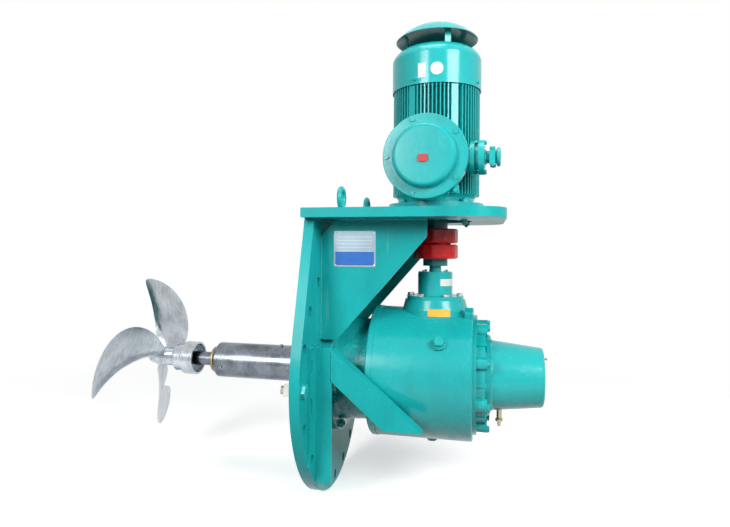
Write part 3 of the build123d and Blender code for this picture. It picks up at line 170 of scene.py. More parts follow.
class Graph:
    """One material's node tree."""

    def __init__(self, name: str) -> None:
        """Starts an empty material with a Principled shader."""
        self.material = bpy.data.materials.new(name)
        self.material.use_nodes = True
        self.tree = self.material.node_tree
        self.tree.nodes.clear()
        self.output = self.tree.nodes.new("ShaderNodeOutputMaterial")
        self.shader = self.tree.nodes.new("ShaderNodeBsdfPrincipled")
        self.tree.links.new(self.shader.outputs[0], self.output.inputs[0])
        self.place = self.add("ShaderNodeTexCoord", {}, {}, "Object")

    def add(self, kind: str, settings: dict[str, Any], inputs: dict[Any, Any], out: Any = 0) -> Value:
        """Adds a node, sets it up and connects it.

        Args:
            kind: the node's type.
            settings: its properties, set first; "stops" fills a colour ramp.
            inputs: values or links of its sockets, by name or number.
            out: the output wanted.

        Returns:
            That output.
        """
        node = self.tree.nodes.new(kind)
        for key, value in settings.items():
            if key == "stops":
                ramp = node.color_ramp.elements
                while len(ramp) < len(value):
                    ramp.new(0.5)
                for element, (position, colour) in zip(ramp, value):
                    element.position = position
                    element.color = (*colour, 1.0)
            else:
                setattr(node, key, value)
        for key, value in inputs.items():
            self.join(node.inputs[key], value)
        return Value(self, node.outputs[out])

    def join(self, socket: Any, value: Any) -> None:
        """Links a Value to a socket, or sets the socket to a constant."""
        if isinstance(value, Value):
            self.tree.links.new(value.socket, socket)
        elif isinstance(value, tuple) and len(value) == 3 and socket.type == "RGBA":
            socket.default_value = (*value, 1.0)
        else:
            socket.default_value = value

    def noise(self, scale: float, detail: float = 3.0, stretch: Point = (1.0, 1.0, 1.0),
              rough: float = 0.5) -> Value:
        """Noise in the object's coordinates.

        Args:
            scale: cells per metre.
            detail: octaves.
            stretch: factors on the three coordinates.
            rough: weight of the fine octaves.

        Returns:
            The noise, centred on one half.
        """
        place = self.add("ShaderNodeMapping", {}, {"Vector": self.place, "Scale": stretch})
        return self.add("ShaderNodeTexNoise", {}, {"Vector": place, "Scale": scale, "Detail": detail,
                                                   "Roughness": rough})

    def blend(self, share: Any, first: Any, second: Any) -> Value:
        """Mixes two colours by a share from 0 to 1."""
        node = {"data_type": "RGBA"}
        return self.add("ShaderNodeMix", node, {"Factor": share, 6: first, 7: second}, 2)

    def remap(self, value: Value, low: float, high: float, to_low: float = 0.0,
              to_high: float = 1.0) -> Value:
        """Maps a range onto another, clamped at both ends."""
        span = {"Value": value, "From Min": low, "From Max": high, "To Min": to_low, "To Max": to_high}
        return self.add("ShaderNodeMapRange", {"clamp": True}, span)

    def bump(self, height: Value, strength: float, depth: float) -> Value:
        """Surface relief from a height, with its depth in metres."""
        return self.add("ShaderNodeBump", {}, {"Height": height, "Strength": strength, "Distance": depth})

    def finish(self, sockets: dict[str, Any]) -> Any:
        """Connects the shader's sockets and returns the material."""
        for key, value in sockets.items():
            self.join(self.shader.inputs[key], value)
        return self.material


@dataclass(frozen=True)
class Enamel:
    """Machine enamel: even colour, soft mottling, orange peel, dulled and chipped in places."""

    name: str
    colour: Colour
    shade: Colour
    rough: float = 0.3
    peel: float = 0.12
    peel_scale: float = 420.0
    chips: float = 0.0
    scuffs: float = 0.0
    coat: float = 0.14
    hub_r: float = 0.0
    hub_colour: Colour = (0.012, 0.190, 0.200)
    axis_x: float = 0.0
    spec: float = 0.28
    lump: float = 0.0

    def material(self) -> Any:
        """Builds the material."""
        g = Graph(self.name)
        broad = g.noise(5.0, 4.0)
        fine = g.noise(90.0, 3.0)
        dust = g.remap(g.noise(22.0, 6.0, (1.0, 1.0, 0.35)), 0.52, 0.78)
        share = g.remap(broad * 0.7 + fine * 0.3, 0.36, 0.64)
        colour = g.blend(share, self.shade, self.colour)
        if self.hub_r > 0.0:
            across = g.add("ShaderNodeSeparateXYZ", {}, {"Vector": g.place}, "X") - self.axis_x
            along = g.add("ShaderNodeSeparateXYZ", {}, {"Vector": g.place}, "Y")
            outside = (across * across + along * along) > self.hub_r ** 2
            colour = g.blend(outside, self.hub_colour, colour)
        grime = g.remap(g.noise(9.0, 7.0, (1.0, 1.0, 0.6), 0.62), 0.54, 0.80) * 0.30
        colour = g.blend(grime.clamped(), colour, GRIME)
        rubbed = g.remap(g.noise(30.0, 6.0, (1.0, 1.0, 0.10), 0.6), 0.64, 0.72) * self.scuffs
        colour = g.blend(rubbed.clamped(), colour, RUBBED)
        chipped = g.remap(g.noise(240.0, 5.0), 0.735, 0.76) * self.chips
        worn = g.blend(chipped.clamped(), colour, PRIMER)
        rough = g.remap(fine * 0.5 + dust * 0.5, 0.2, 0.8, self.rough - 0.06, self.rough + 0.16)
        skin = g.noise(self.peel_scale, 2.0) + g.noise(self.peel_scale * 0.2, 2.0) * 1.5
        relief = skin + g.noise(46.0, 3.0) * self.lump - chipped
        return g.finish({"Base Color": worn, "Roughness": rough, "Coat Weight": self.coat,
                         "Coat Roughness": 0.12, "Specular IOR Level": self.spec,
                         "Normal": g.bump(relief, self.peel, PEEL_DEPTH)})


@dataclass(frozen=True)
class Metal:
    """Bare metal with a grain that runs along or round the piece."""

    name: str
    colour: Colour
    shade: Colour
    rough: float = 0.25
    grain: Point = (1.0, 1.0, 1.0)
    grain_scale: float = 300.0
    depth: float = 0.25
    stain: Colour = (0.35, 0.33, 0.30)
    stained: float = 0.15

    def material(self) -> Any:
        """Builds the material."""
        g = Graph(self.name)
        streak = g.noise(self.grain_scale, 3.0, self.grain, 0.7)
        # Broad clouds in the colour: random tone, and on the polished finish partly painted reflection.
        cloud = g.noise(16.0, 5.0)
        colour = g.blend(g.remap(streak * 0.5 + cloud * 0.5, 0.35, 0.65), self.shade, self.colour)
        spots = g.remap(g.noise(60.0, 6.0), 0.6, 0.75) * self.stained
        rough = g.remap(streak * 0.6 + cloud * 0.4, 0.3, 0.7, self.rough - 0.07, self.rough + 0.10)
        return g.finish({"Base Color": g.blend(spots.clamped(), colour, self.stain), "Metallic": 1.0,
                         "Roughness": rough, "Normal": g.bump(streak, self.depth, GRAIN_DEPTH)})


@dataclass(frozen=True)
class Soft:
    """Rubber, plastic or a printed plate: not metal, fine-grained."""

    name: str
    colour: Colour
    shade: Colour
    rough: float = 0.6
    relief: float = 0.2

    def material(self) -> Any:
        """Builds the material."""
        g = Graph(self.name)
        cloud = g.noise(30.0, 4.0)
        grain = g.noise(900.0, 2.0)
        colour = g.blend(g.remap(cloud * 0.6 + grain * 0.4, 0.35, 0.65), self.shade, self.colour)
        rough = g.remap(cloud, 0.3, 0.7, self.rough - 0.08, self.rough + 0.08)
        return g.finish({"Base Color": colour, "Roughness": rough,
                         "Normal": g.bump(grain, self.relief, PLASTIC_DEPTH)})


TEAL = Enamel("teal_enamel", (0.013, 0.455, 0.456), (0.009, 0.395, 0.398), 0.26)
TEAL_CAST = Enamel("teal_cast", (0.012, 0.440, 0.442), (0.008, 0.370, 0.374), 0.27, 0.40, 210.0)
TEAL_ROUGH = Enamel("teal_rough_cast", (0.012, 0.430, 0.440), (0.007, 0.330, 0.340), 0.24, 0.9, 160.0,
                    lump=9.0)
TEAL_PLATE = Enamel("teal_plate", (0.012, 0.445, 0.445), (0.009, 0.385, 0.387), 0.36, 0.20, 160.0, 0.6, 0.30,
                    coat=0.04, spec=0.14)
TEAL_SHEET = Enamel("teal_sheet", (0.015, 0.470, 0.474), (0.011, 0.420, 0.424), 0.22, 0.08, 300.0, 0.0, 0.12)
RED = Enamel("red_enamel", (0.860, 0.016, 0.020), (0.740, 0.011, 0.014), 0.28, 0.15, 300.0, 0.2)
ZINC = Metal("zinc_plate", (0.62, 0.61, 0.57), (0.47, 0.47, 0.44), 0.36, (1, 1, 1), 500.0, 0.2)
# Polished stainless: the wide gap between colour and shade draws broad light and dark clouds, partly random
# tone and partly painted reflection.
POLISHED_PAINTED_REFLECTION = Metal("polished_stainless_painted_reflection", (0.60, 0.65, 0.69), (0.32, 0.35, 0.38), 0.19, (1, 1, 0.10), 120.0,
                 0.05)
TURNED = Metal("turned_stainless", (0.27, 0.31, 0.36), (0.055, 0.056, 0.058), 0.24, (14.0, 0.5, 0.5), 150.0,
               0.22, stained=0.45)
DARK = Metal("machined_steel", (0.42, 0.42, 0.43), (0.28, 0.28, 0.29), 0.32, (1, 1, 12.0), 160.0, 0.2)
GEAR = Metal("ground_steel", (0.50, 0.50, 0.52), (0.36, 0.36, 0.38), 0.24)
CORE = Metal("core_laminations", (0.30, 0.30, 0.31), (0.20, 0.20, 0.21), 0.45, (1, 1, 20.0), 160.0, 0.5)
COPPER = Metal("varnished_copper", (0.72, 0.34, 0.16), (0.50, 0.22, 0.10), 0.35, (1, 1, 20.0), 200.0, 0.8)
BRONZE = Metal("cast_bronze", (0.36, 0.29, 0.20), (0.25, 0.20, 0.14), 0.40)
BRASS = Metal("turned_brass", (0.46, 0.40, 0.27), (0.32, 0.27, 0.17), 0.32)
RUBBER = Soft("dark_rubber", (0.035, 0.035, 0.035), (0.020, 0.020, 0.020), 0.7)
PLASTIC = Soft("fan_plastic", (0.05, 0.05, 0.05), (0.03, 0.03, 0.03), 0.5)
SILVER_PLATE = Metal("plate_silver", (0.25, 0.33, 0.38), (0.18, 0.24, 0.29), 0.38, (30.0, 1, 1), 60.0, 0.06)
BLUE_PLATE = Soft("plate_blue", (0.006, 0.150, 0.560), (0.005, 0.115, 0.470), 0.35, 0.05)
WHITE_LABEL = Soft("label_white", (0.78, 0.79, 0.76), (0.68, 0.70, 0.66), 0.45, 0.05)
YELLOW_LABEL = Soft("label_yellow", (0.86, 0.50, 0.05), (0.76, 0.42, 0.04), 0.45, 0.05)
RED_PAD = Soft("pad_red", (0.46, 0.015, 0.020), (0.36, 0.010, 0.012), 0.35, 0.05)

SLOT_FINISH = {
    Slot.TEAL: TEAL, Slot.ZINC: ZINC, Slot.STAINLESS: TURNED, Slot.DARK: DARK, Slot.GEAR: GEAR, Slot.RED: RED,
    Slot.RUBBER: RUBBER, Slot.CORE: CORE, Slot.COPPER: COPPER, Slot.PLASTIC: PLASTIC, Slot.BRONZE: BRONZE,
    Slot.BRASS: BRASS,
}
NODE_FINISH = {
    "gearbox_housing": TEAL_CAST, "seal_neck": TEAL_ROUGH, "cartridge_cap": TEAL, "input_shaft": TEAL_CAST,
    "rear_cover": TEAL_CAST, "end_cap": TEAL,
    "input_cartridge": TEAL, "motor_lower_shield": TEAL_CAST, "terminal_box": TEAL_CAST,
    "tank_flange": TEAL_PLATE, "top_plate": TEAL_PLATE, "gusset_near": TEAL_PLATE, "gusset_far": TEAL_PLATE,
    "angle_bar_near": TEAL_PLATE, "angle_bar_far": TEAL_PLATE, "brace_near": TEAL_PLATE,
    "brace_far": TEAL_PLATE, "fan_cowl": TEAL_SHEET,
    "rain_canopy": TEAL_SHEET, "propeller": POLISHED_PAINTED_REFLECTION, "propeller_nut": POLISHED_PAINTED_REFLECTION, "shaft_collar": POLISHED_PAINTED_REFLECTION,
    "terminal_cover_bolts": TEAL, "neck_bolts": TEAL, "entry_bolts": TEAL, "cartridge_bolts": ZINC,
    "rear_cover_bolts": TEAL, "motor_mount_bolts": TEAL, "oil_plugs": TEAL, "entry_saddle": TEAL,
}


class Paintshop:
    """Makes each finish once and hands it out."""

    def __init__(self) -> None:
        """Starts with no materials made."""
        self.made: dict[str, Any] = {}

    def material(self, finish: Any) -> Any:
        """The material of a finish."""
        if finish.name not in self.made:
            self.made[finish.name] = finish.material()
        return self.made[finish.name]

    def dress(self, thing: Any, finish: Any) -> None:
        """Puts a finish on every slot of an object."""
        if not thing.data.materials:
            thing.data.materials.append(None)
        for index in range(len(thing.data.materials)):
            thing.data.materials[index] = self.material(finish)


SHOP = Paintshop()


# ------------------------------------------------------------------------------------------ mesh building
def aim(origin: Point, axis: Point, turn: float = 0.0) -> Matrix:
    """A place whose Z runs along an axis.

    Args:
        origin: where the place is.
        axis: the direction of its Z.
        turn: degrees about that axis.

    Returns:
        The matrix from the place to the part's frame.
    """
    rotation = Vector((0, 0, 1)).rotation_difference(Vector(axis)).to_matrix().to_4x4()
    return Matrix.Translation(origin) @ rotation @ Matrix.Rotation(math.radians(turn), 4, "Z")


def lathe(bm: bmesh.types.BMesh, profile: Sequence[tuple[float, float]], place: Matrix,
          steps: int = 48) -> None:
    """Spins an open outline of (radius, height) about a place's Z axis; ends on the axis close it."""
    known = set(bm.verts)
    verts = [bm.verts.new((r, 0.0, z)) for r, z in profile]
    edges = [bm.edges.new(pair) for pair in zip(verts, verts[1:])]
    bmesh.ops.spin(bm, geom=verts + edges, cent=(0, 0, 0), axis=(0, 0, 1), angle=math.tau, steps=steps,
                   use_merge=True)
    bmesh.ops.transform(bm, matrix=place, verts=[v for v in bm.verts if v not in known])


def hexagon(bm: bmesh.types.BMesh, across: float, height: float, place: Matrix,
            washer: float = 0.0) -> None:
    """A chamfered hexagon head or nut, with a washer under it if one has a radius."""
    base = 0.0
    if washer:
        base = 0.0022
        lathe(bm, [(0, 0), (washer, 0), (washer, 0.7 * base), (washer - 0.0006, base), (0, base)], place, 24)
    known = set(bm.verts)
    radius = across / math.sqrt(3)
    body = 0.84 * height
    bmesh.ops.create_cone(bm, cap_ends=True, segments=6, radius1=radius, radius2=radius, depth=body)
    fresh = [v for v in bm.verts if v not in known]
    bmesh.ops.translate(bm, verts=fresh, vec=(0, 0, base + body / 2))
    top = max({f for v in fresh for f in v.link_faces}, key=lambda f: f.calc_center_median().z)
    grown = bmesh.ops.extrude_face_region(bm, geom=[top])["geom"]
    crown = [g for g in grown if isinstance(g, bmesh.types.BMVert)]
    bmesh.ops.translate(bm, verts=crown, vec=(0, 0, height - body))
    bmesh.ops.scale(bm, verts=crown, vec=(0.87, 0.87, 1.0))
    bmesh.ops.transform(bm, matrix=place, verts=[v for v in bm.verts if v not in known])


def threaded(bm: bmesh.types.BMesh, radius: float, length: float, place: Matrix,
             pitch: float = 0.002) -> None:
    """A stud's threaded end, standing up from its place."""
    turns = max(2, int(length / pitch))
    profile: list[tuple[float, float]] = [(radius, 0.0)]
    for k in range(turns):
        profile += [(radius - 0.5 * pitch, (k + 0.5) * pitch), (radius, (k + 1) * pitch)]
    profile += [(radius - pitch, turns * pitch + 0.5 * pitch), (0.0, turns * pitch + 0.5 * pitch)]
    lathe(bm, profile, place, 20)


def bead(bm: bmesh.types.BMesh, path: Sequence[Point], radius: float, ripple: float = 0.004) -> None:
    """A weld bead along a path, rippled like laid weld."""
    points = [Vector(p) for p in path]
    for start, end in zip(points, points[1:]):
        run = end - start
        count = max(2, round(run.length / ripple) * 2)
        place = Matrix.Translation(start) @ Vector((0, 0, 1)).rotation_difference(run).to_matrix().to_4x4()
        profile = [(0.0, 0.0)]
        for k in range(count + 1):
            swell = 1.0 if k % 2 else 0.82
            wander = 1.0 + 0.08 * math.sin(k * 1.7 + run.length * 90.0)
            profile.append((radius * swell * wander, run.length * k / count))
        profile.append((0.0, run.length))
        lathe(bm, profile, place, 8)


def piece(name: str, build: Callable[[bmesh.types.BMesh], None], finish: Any, body: Body, slot: Slot,
          stands_for: Sequence[str] = (), smooth: float = SMOOTH_UNDER) -> Any:
    """Makes a mesh object from a bmesh and hangs it on a body.

    Args:
        name: the piece's name.
        build: fills the bmesh.
        finish: its finish.
        body: the body it rides on.
        slot: the record's slot for its finish; not used.
        stands_for: CAD nodes that it replaces.
        smooth: degrees under which edges are shaded smooth.

    Returns:
        The object.
    """
    bm = bmesh.new()
    build(bm)
    bmesh.ops.remove_doubles(bm, verts=bm.verts, dist=1e-6)
    bmesh.ops.recalc_face_normals(bm, faces=bm.faces)
    mesh = bpy.data.meshes.new(name)
    bm.to_mesh(mesh)
    bm.free()
    thing = bpy.data.objects.new(name, mesh)
    bpy.context.scene.collection.objects.link(thing)
    mesh.shade_smooth()
    mesh.set_sharp_from_angle(angle=math.radians(smooth))
    SHOP.dress(thing, finish)
    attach(thing, body.value)
    if stands_for:
        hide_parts(*stands_for)
    LOG.info("%s: %d faces", name, len(mesh.polygons))
    return thing


# ------------------------------------------------------------------------------------------ stage
@dataclass
class Studio:
    """Camera, lamps, floor and surroundings."""

    eye: Point = (0.5228, -1.871, 0.3922)
    heading: float = 14.09
    roll: float = 0.38
    lens: float = 28.3
    shift: tuple[float, float] = (0.0297, -0.0193)
    floor_gap: float = 0.0015
    floor_glow: float = 0.55
    fill: float = 0.12
    white_from: float = 1.3
    white_at: float = 2.6
    bounce: Colour = (0.12, 0.14, 0.14)

    def camera(self) -> None:
        """Places the camera."""
        data = bpy.data.cameras.new("camera")
        data.lens = self.lens
        data.sensor_width = 36.0
        data.shift_x, data.shift_y = self.shift
        data.clip_end = 60.0
        a, rho = math.radians(self.heading), math.radians(self.roll)
        right = Vector((math.cos(a), math.sin(a), 0.0))
        ahead = Vector((-math.sin(a), math.cos(a), 0.0))
        up = Vector((0.0, 0.0, 1.0))
        r = right * math.cos(rho) + up * math.sin(rho)
        u = up * math.cos(rho) - right * math.sin(rho)
        turned = Matrix((r, u, -ahead)).transposed().to_4x4()
        thing = bpy.data.objects.new("camera", data)
        thing.matrix_world = Matrix.Translation(self.eye) @ turned
        bpy.context.scene.collection.objects.link(thing)
        bpy.context.scene.camera = thing

    def lamp(self, name: str, at: Point, to: Point, size: float, power: float) -> None:
        """Adds one soft square lamp.

        Args:
            name: the lamp's name.
            at: where it hangs.
            to: what it points at.
            size: the side of its panel.
            power: watts.
        """
        data = bpy.data.lights.new(name, "AREA")
        data.shape = "SQUARE"
        data.size = size
        data.energy = power
        thing = bpy.data.objects.new(name, data)
        thing.location = at
        thing.rotation_euler = (Vector(to) - Vector(at)).to_track_quat("-Z", "Y").to_euler()
        bpy.context.scene.collection.objects.link(thing)

    def world(self) -> None:
        """Weak cool surroundings that show as white to the camera and in metal."""
        world = bpy.data.worlds.new("studio")
        bpy.context.scene.world = world
        world.use_nodes = True
        tree = world.node_tree
        tree.nodes.clear()
        out = tree.nodes.new("ShaderNodeOutputWorld")
        mix = tree.nodes.new("ShaderNodeMixShader")
        rays = tree.nodes.new("ShaderNodeLightPath")
        fill = tree.nodes.new("ShaderNodeBackground")
        seen = tree.nodes.new("ShaderNodeBackground")
        fill.inputs[0].default_value = (0.93, 0.97, 1.0, 1.0)
        fill.inputs[1].default_value = self.fill
        seen.inputs[0].default_value = (1.0, 1.0, 1.0, 1.0)
        seen.inputs[1].default_value = 1.0
        seen_rays = tree.nodes.new("ShaderNodeMath")
        seen_rays.operation = "ADD"
        seen_rays.use_clamp = True
        sharp_rays = tree.nodes.new("ShaderNodeMath")
        sharp_rays.operation = "ADD"
        tree.links.new(rays.outputs["Is Glossy Ray"], sharp_rays.inputs[0])
        tree.links.new(rays.outputs["Is Transmission Ray"], sharp_rays.inputs[1])
        tree.links.new(rays.outputs["Is Camera Ray"], seen_rays.inputs[0])
        tree.links.new(sharp_rays.outputs[0], seen_rays.inputs[1])
        tree.links.new(seen_rays.outputs[0], mix.inputs[0])
        tree.links.new(fill.outputs[0], mix.inputs[1])
        tree.links.new(seen.outputs[0], mix.inputs[2])
        tree.links.new(mix.outputs[0], out.inputs[0])

    def floor_paint(self) -> Any:
        """Pale paint that keeps the shadow, turns white far out and throws little light back up."""
        g = Graph("floor_paint")
        tone = g.blend(g.noise(0.7, 2.0), (0.93, 0.94, 0.94), (0.96, 0.96, 0.96))
        near = g.add("ShaderNodeBsdfPrincipled", {}, {
            "Base Color": tone, "Roughness": 0.8, "Specular IOR Level": 0.1,
            "Emission Color": (1.0, 1.0, 1.0), "Emission Strength": self.floor_glow})
        white = g.add("ShaderNodeBsdfPrincipled", {}, {
            "Base Color": (0.0, 0.0, 0.0), "Specular IOR Level": 0.0, "Emission Color": (1.0, 1.0, 1.0),
            "Emission Strength": 1.0})
        dull = g.add("ShaderNodeBsdfPrincipled", {}, {
            "Base Color": self.bounce, "Roughness": 0.9, "Specular IOR Level": 0.1})
        reach = g.add("ShaderNodeVectorMath", {"operation": "LENGTH"}, {0: g.place}, "Value")
        far = g.remap(reach, self.white_from, self.white_at)
        shown = g.add("ShaderNodeMixShader", {}, {0: far, 1: near, 2: white})
        kinds = ("Is Camera Ray", "Is Glossy Ray", "Is Transmission Ray")
        rays = [g.add("ShaderNodeLightPath", {}, {}, kind) for kind in kinds]
        seen = (rays[0] + rays[1] + rays[2]).clamped()
        g.join(g.output.inputs[0], g.add("ShaderNodeMixShader", {}, {0: seen, 1: dull, 2: shown}))
        return g.material

    def floor(self) -> None:
        """A wide pale floor under the plate's rim."""
        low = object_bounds()[0]
        bm = bmesh.new()
        bmesh.ops.create_grid(bm, x_segments=1, y_segments=1, size=14.0)
        bmesh.ops.translate(bm, verts=bm.verts, vec=(0, 0, low[2] - self.floor_gap))
        mesh = bpy.data.meshes.new("floor")
        bm.to_mesh(mesh)
        bm.free()
        thing = bpy.data.objects.new("floor", mesh)
        bpy.context.scene.collection.objects.link(thing)
        mesh.materials.append(self.floor_paint())
        thing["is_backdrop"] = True

    def build(self) -> None:
        """Sets the whole stage."""
        self.camera()
        self.world()
        self.floor()
        self.lamp("key", (-1.4, -3.8, 1.70), (0.1, 0.0, 0.2), 1.4, 97.0)
        self.lamp("window", (2.30, -1.85, 1.55), (0.5, 0.0, 0.1), 1.3, 84.0)
        self.lamp("top", (0.1, -0.6, 3.3), (0.2, 0.0, 0.0), 1.6, 34.0)
        bpy.context.scene.view_settings.view_transform = "Standard"


# ------------------------------------------------------------------------------------------ the object
def middle(node: str) -> Vector:
    """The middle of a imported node's box."""
    low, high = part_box(node)
    return (Vector(low) + Vector(high)) / 2


def ring_places(centre: Vector, axis: Point, radius: float, count: int,
                first: float) -> Iterable[Matrix]:
    """Places spaced evenly on a circle, each with its Z along the circle's axis.

    Args:
        centre: the circle's centre.
        axis: the direction of +X, +Z or -Z, of length one.
        radius: the circle's radius.
        count: how many places.
        first: degrees of the first one, from +Z towards -Y about X, or from +X towards +Y about Z.

    Returns:
        Each place.
    """
    for k in range(count):
        a = math.radians(first + 360.0 * k / count)
        if abs(axis[0]) > 0.5:
            at = centre + Vector((0.0, -radius * math.sin(a), radius * math.cos(a)))
        else:
            at = centre + Vector((radius * math.cos(a), radius * math.sin(a), 0.0))
        yield aim(tuple(at), axis, 17.0 * k)


@dataclass
class BoltRings:
    """Hexagon bolts, studs and nuts, chamfered, with washers and thread ends."""

    neck_circle: float = 0.184
    cover_circle: float = 0.166
    cartridge_circle: float = 0.078
    cartridge_seat: float = 0.0078
    motor_circle: float = 0.1325
    motor_nut: float = 0.0098
    motor_flange: float = 0.026
    neck_nut: float = 0.0125
    head: float = 0.0056

    def neck(self, bm: bmesh.types.BMesh) -> None:
        """Studs and nuts on the neck's base flange."""
        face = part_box("neck_bolts")[1][0] - 0.019
        for place in ring_places(Vector((face, 0, 0)), (1, 0, 0), self.neck_circle, 8, 22.5):
            hexagon(bm, 0.024, self.neck_nut, place)
            threaded(bm, 0.0078, 0.0045, place @ Matrix.Translation((0, 0, self.neck_nut)))

    def cover(self, bm: bmesh.types.BMesh) -> None:
        """Bolts in the rear cover's lugs."""
        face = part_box("rear_cover")[1][0]
        for place in ring_places(Vector((face, 0, 0)), (1, 0, 0), self.cover_circle, 8, 22.5):
            hexagon(bm, 0.0186, self.head, place, 0.0105)

    def cartridge(self, bm: bmesh.types.BMesh) -> None:
        """Bolts round the cartridge's flange."""
        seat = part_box("cartridge_bolts")[1][2] - self.cartridge_seat
        centre = Vector((middle("input_cartridge").x, 0, seat))
        for place in ring_places(centre, (0, 0, 1), self.cartridge_circle, 6, 0.0):
            hexagon(bm, 0.0186, self.head, place, 0.0106)

    def motor(self, bm: bmesh.types.BMesh) -> None:
        """Nuts above and below the motor's flange."""
        low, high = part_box("top_plate")
        flange = high[2] + self.motor_flange
        x = middle("motor_shaft").x
        for place in ring_places(Vector((x, 0, flange)), (0, 0, 1), self.motor_circle, 4, 45.0):
            hexagon(bm, 0.019, self.motor_nut, place)
            threaded(bm, 0.0058, 0.0030, place @ Matrix.Translation((0, 0, self.motor_nut)))
        for place in ring_places(Vector((x, 0, low[2])), (0, 0, -1), self.motor_circle, 4, 45.0):
            hexagon(bm, 0.019, self.motor_nut, place)
            threaded(bm, 0.0058, 0.0048, place @ Matrix.Translation((0, 0, self.motor_nut)))

    def build(self) -> None:
        """Makes every ring of bolts."""
        piece("neck_nuts_fine", self.neck, TEAL, Body.FRAME, Slot.TEAL, ["neck_bolts"])
        piece("cover_bolts_fine", self.cover, TEAL, Body.FRAME, Slot.TEAL, ["rear_cover_bolts"])
        piece("cartridge_bolts_fine", self.cartridge, ZINC, Body.FRAME, Slot.ZINC, ["cartridge_bolts"])
        piece("motor_nuts_fine", self.motor, TEAL, Body.FRAME, Slot.ZINC, ["motor_mount_bolts"])


@dataclass
class LiftingEyes:
    """Forged eye bolts with a smooth ring that swells into its collar."""

    ring: float = 0.028
    bar: float = 0.0079
    collar: float = 0.020

    def one(self, bm: bmesh.types.BMesh, foot: Vector) -> None:
        """Adds one eye bolt standing on its foot point."""
        known = set(bm.verts)
        centre = foot + Vector((0, 0, self.ring + self.bar))
        start = bmesh.ops.create_circle(bm, segments=14, radius=self.bar)["verts"]
        turn = Matrix.Rotation(math.radians(90), 4, "X")
        bmesh.ops.transform(bm, matrix=turn, verts=start)
        bmesh.ops.translate(bm, verts=start, vec=(self.ring, 0, 0))
        edges = list({e for v in start for e in v.link_edges})
        bmesh.ops.spin(bm, geom=start + edges, cent=(0, 0, 0), axis=(0, 0, 1), angle=math.tau, steps=40,
                       use_merge=True)
        upright = Matrix.Translation(centre) @ Matrix.Rotation(math.radians(90), 4, "Y")
        bmesh.ops.transform(bm, matrix=upright, verts=[v for v in bm.verts if v not in known])
        c = self.collar
        profile = [(0, 0), (c, 0), (c, 0.004), (0.8 * c, 0.0075), (0.55 * c, 0.0100), (0.42 * c, 0.0125),
                   (0, 0.0135)]
        lathe(bm, profile, Matrix.Translation(foot), 32)

    def build(self) -> None:
        """Makes both eye bolts."""
        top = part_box("top_plate")[1][2]
        low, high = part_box("lifting_eyes")
        x = (low[0] + high[0]) / 2
        reach = high[1] - self.ring - self.bar

        def both(bm: bmesh.types.BMesh) -> None:
            """Adds the two eyes."""
            for side in (-1, 1):
                self.one(bm, Vector((x, side * reach, top)))

        piece("lifting_eyes_fine", both, TEAL, Body.FRAME, Slot.TEAL, ["lifting_eyes"], 60.0)


@dataclass
class Welds:
    """Weld beads where plates meet."""

    size: float = 0.0038

    def plates(self, bm: bmesh.types.BMesh) -> None:
        """Beads along the gussets, bars, braces and the top plate."""
        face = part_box("tank_flange")[1][0]
        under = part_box("top_plate")[0][2]
        r = self.size
        for node in ("gusset_near", "gusset_far"):
            low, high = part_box(node)
            for y in (low[1] - 0.3 * r, high[1] + 0.3 * r):
                bead(bm, [(face + 0.3 * r, y, low[2] + 0.002), (face + 0.3 * r, y, high[2] - 0.052)], r)
                bead(bm, [(low[0] + 0.050, y, under - 0.3 * r), (high[0] - 0.002, y, under - 0.3 * r)], r)
        for node, sign in (("angle_bar_near", -1), ("angle_bar_far", 1)):
            low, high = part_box(node)
            inner = high[1] if sign < 0 else low[1]
            y = inner - sign * 0.3 * r
            bead(bm, [(face + 0.3 * r, y, low[2] + 0.03), (face + 0.3 * r, y, high[2] - 0.002)], r)
            top = high[2] + 0.3 * r
            bead(bm, [(face + 0.3 * r, inner, top), (face + 0.3 * r, inner + sign * 0.062, top)], r)
            brace_low, brace_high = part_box("brace_near" if sign < 0 else "brace_far")
            outer = brace_low[1] if sign < 0 else brace_high[1]
            x = brace_low[0]
            bead(bm, [(x, outer, brace_high[2] - 0.004), (x, outer, brace_high[2] - 0.090)], 0.8 * r)
        width = 0.255
        bead(bm, [(face + 0.3 * r, -width, under - 0.3 * r), (face + 0.3 * r, width, under - 0.3 * r)], r)

    def tube(self, bm: bmesh.types.BMesh) -> None:
        """Ring bead where the shaft tube enters the plate."""
        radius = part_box("shaft_tube")[1][2]
        count = 56
        angles = [math.tau * k / count for k in range(count + 1)]
        ring = [(-0.4 * self.size, radius * math.sin(a), radius * math.cos(a)) for a in angles]
        bead(bm, ring, self.size, 0.0035)

    def build(self) -> None:
        """Makes the painted beads and the tube's own bead."""
        piece("weld_beads", self.plates, TEAL_CAST, Body.FRAME, Slot.TEAL)
        piece("tube_weld", self.tube, TEAL_CAST, Body.FRAME, Slot.TEAL)


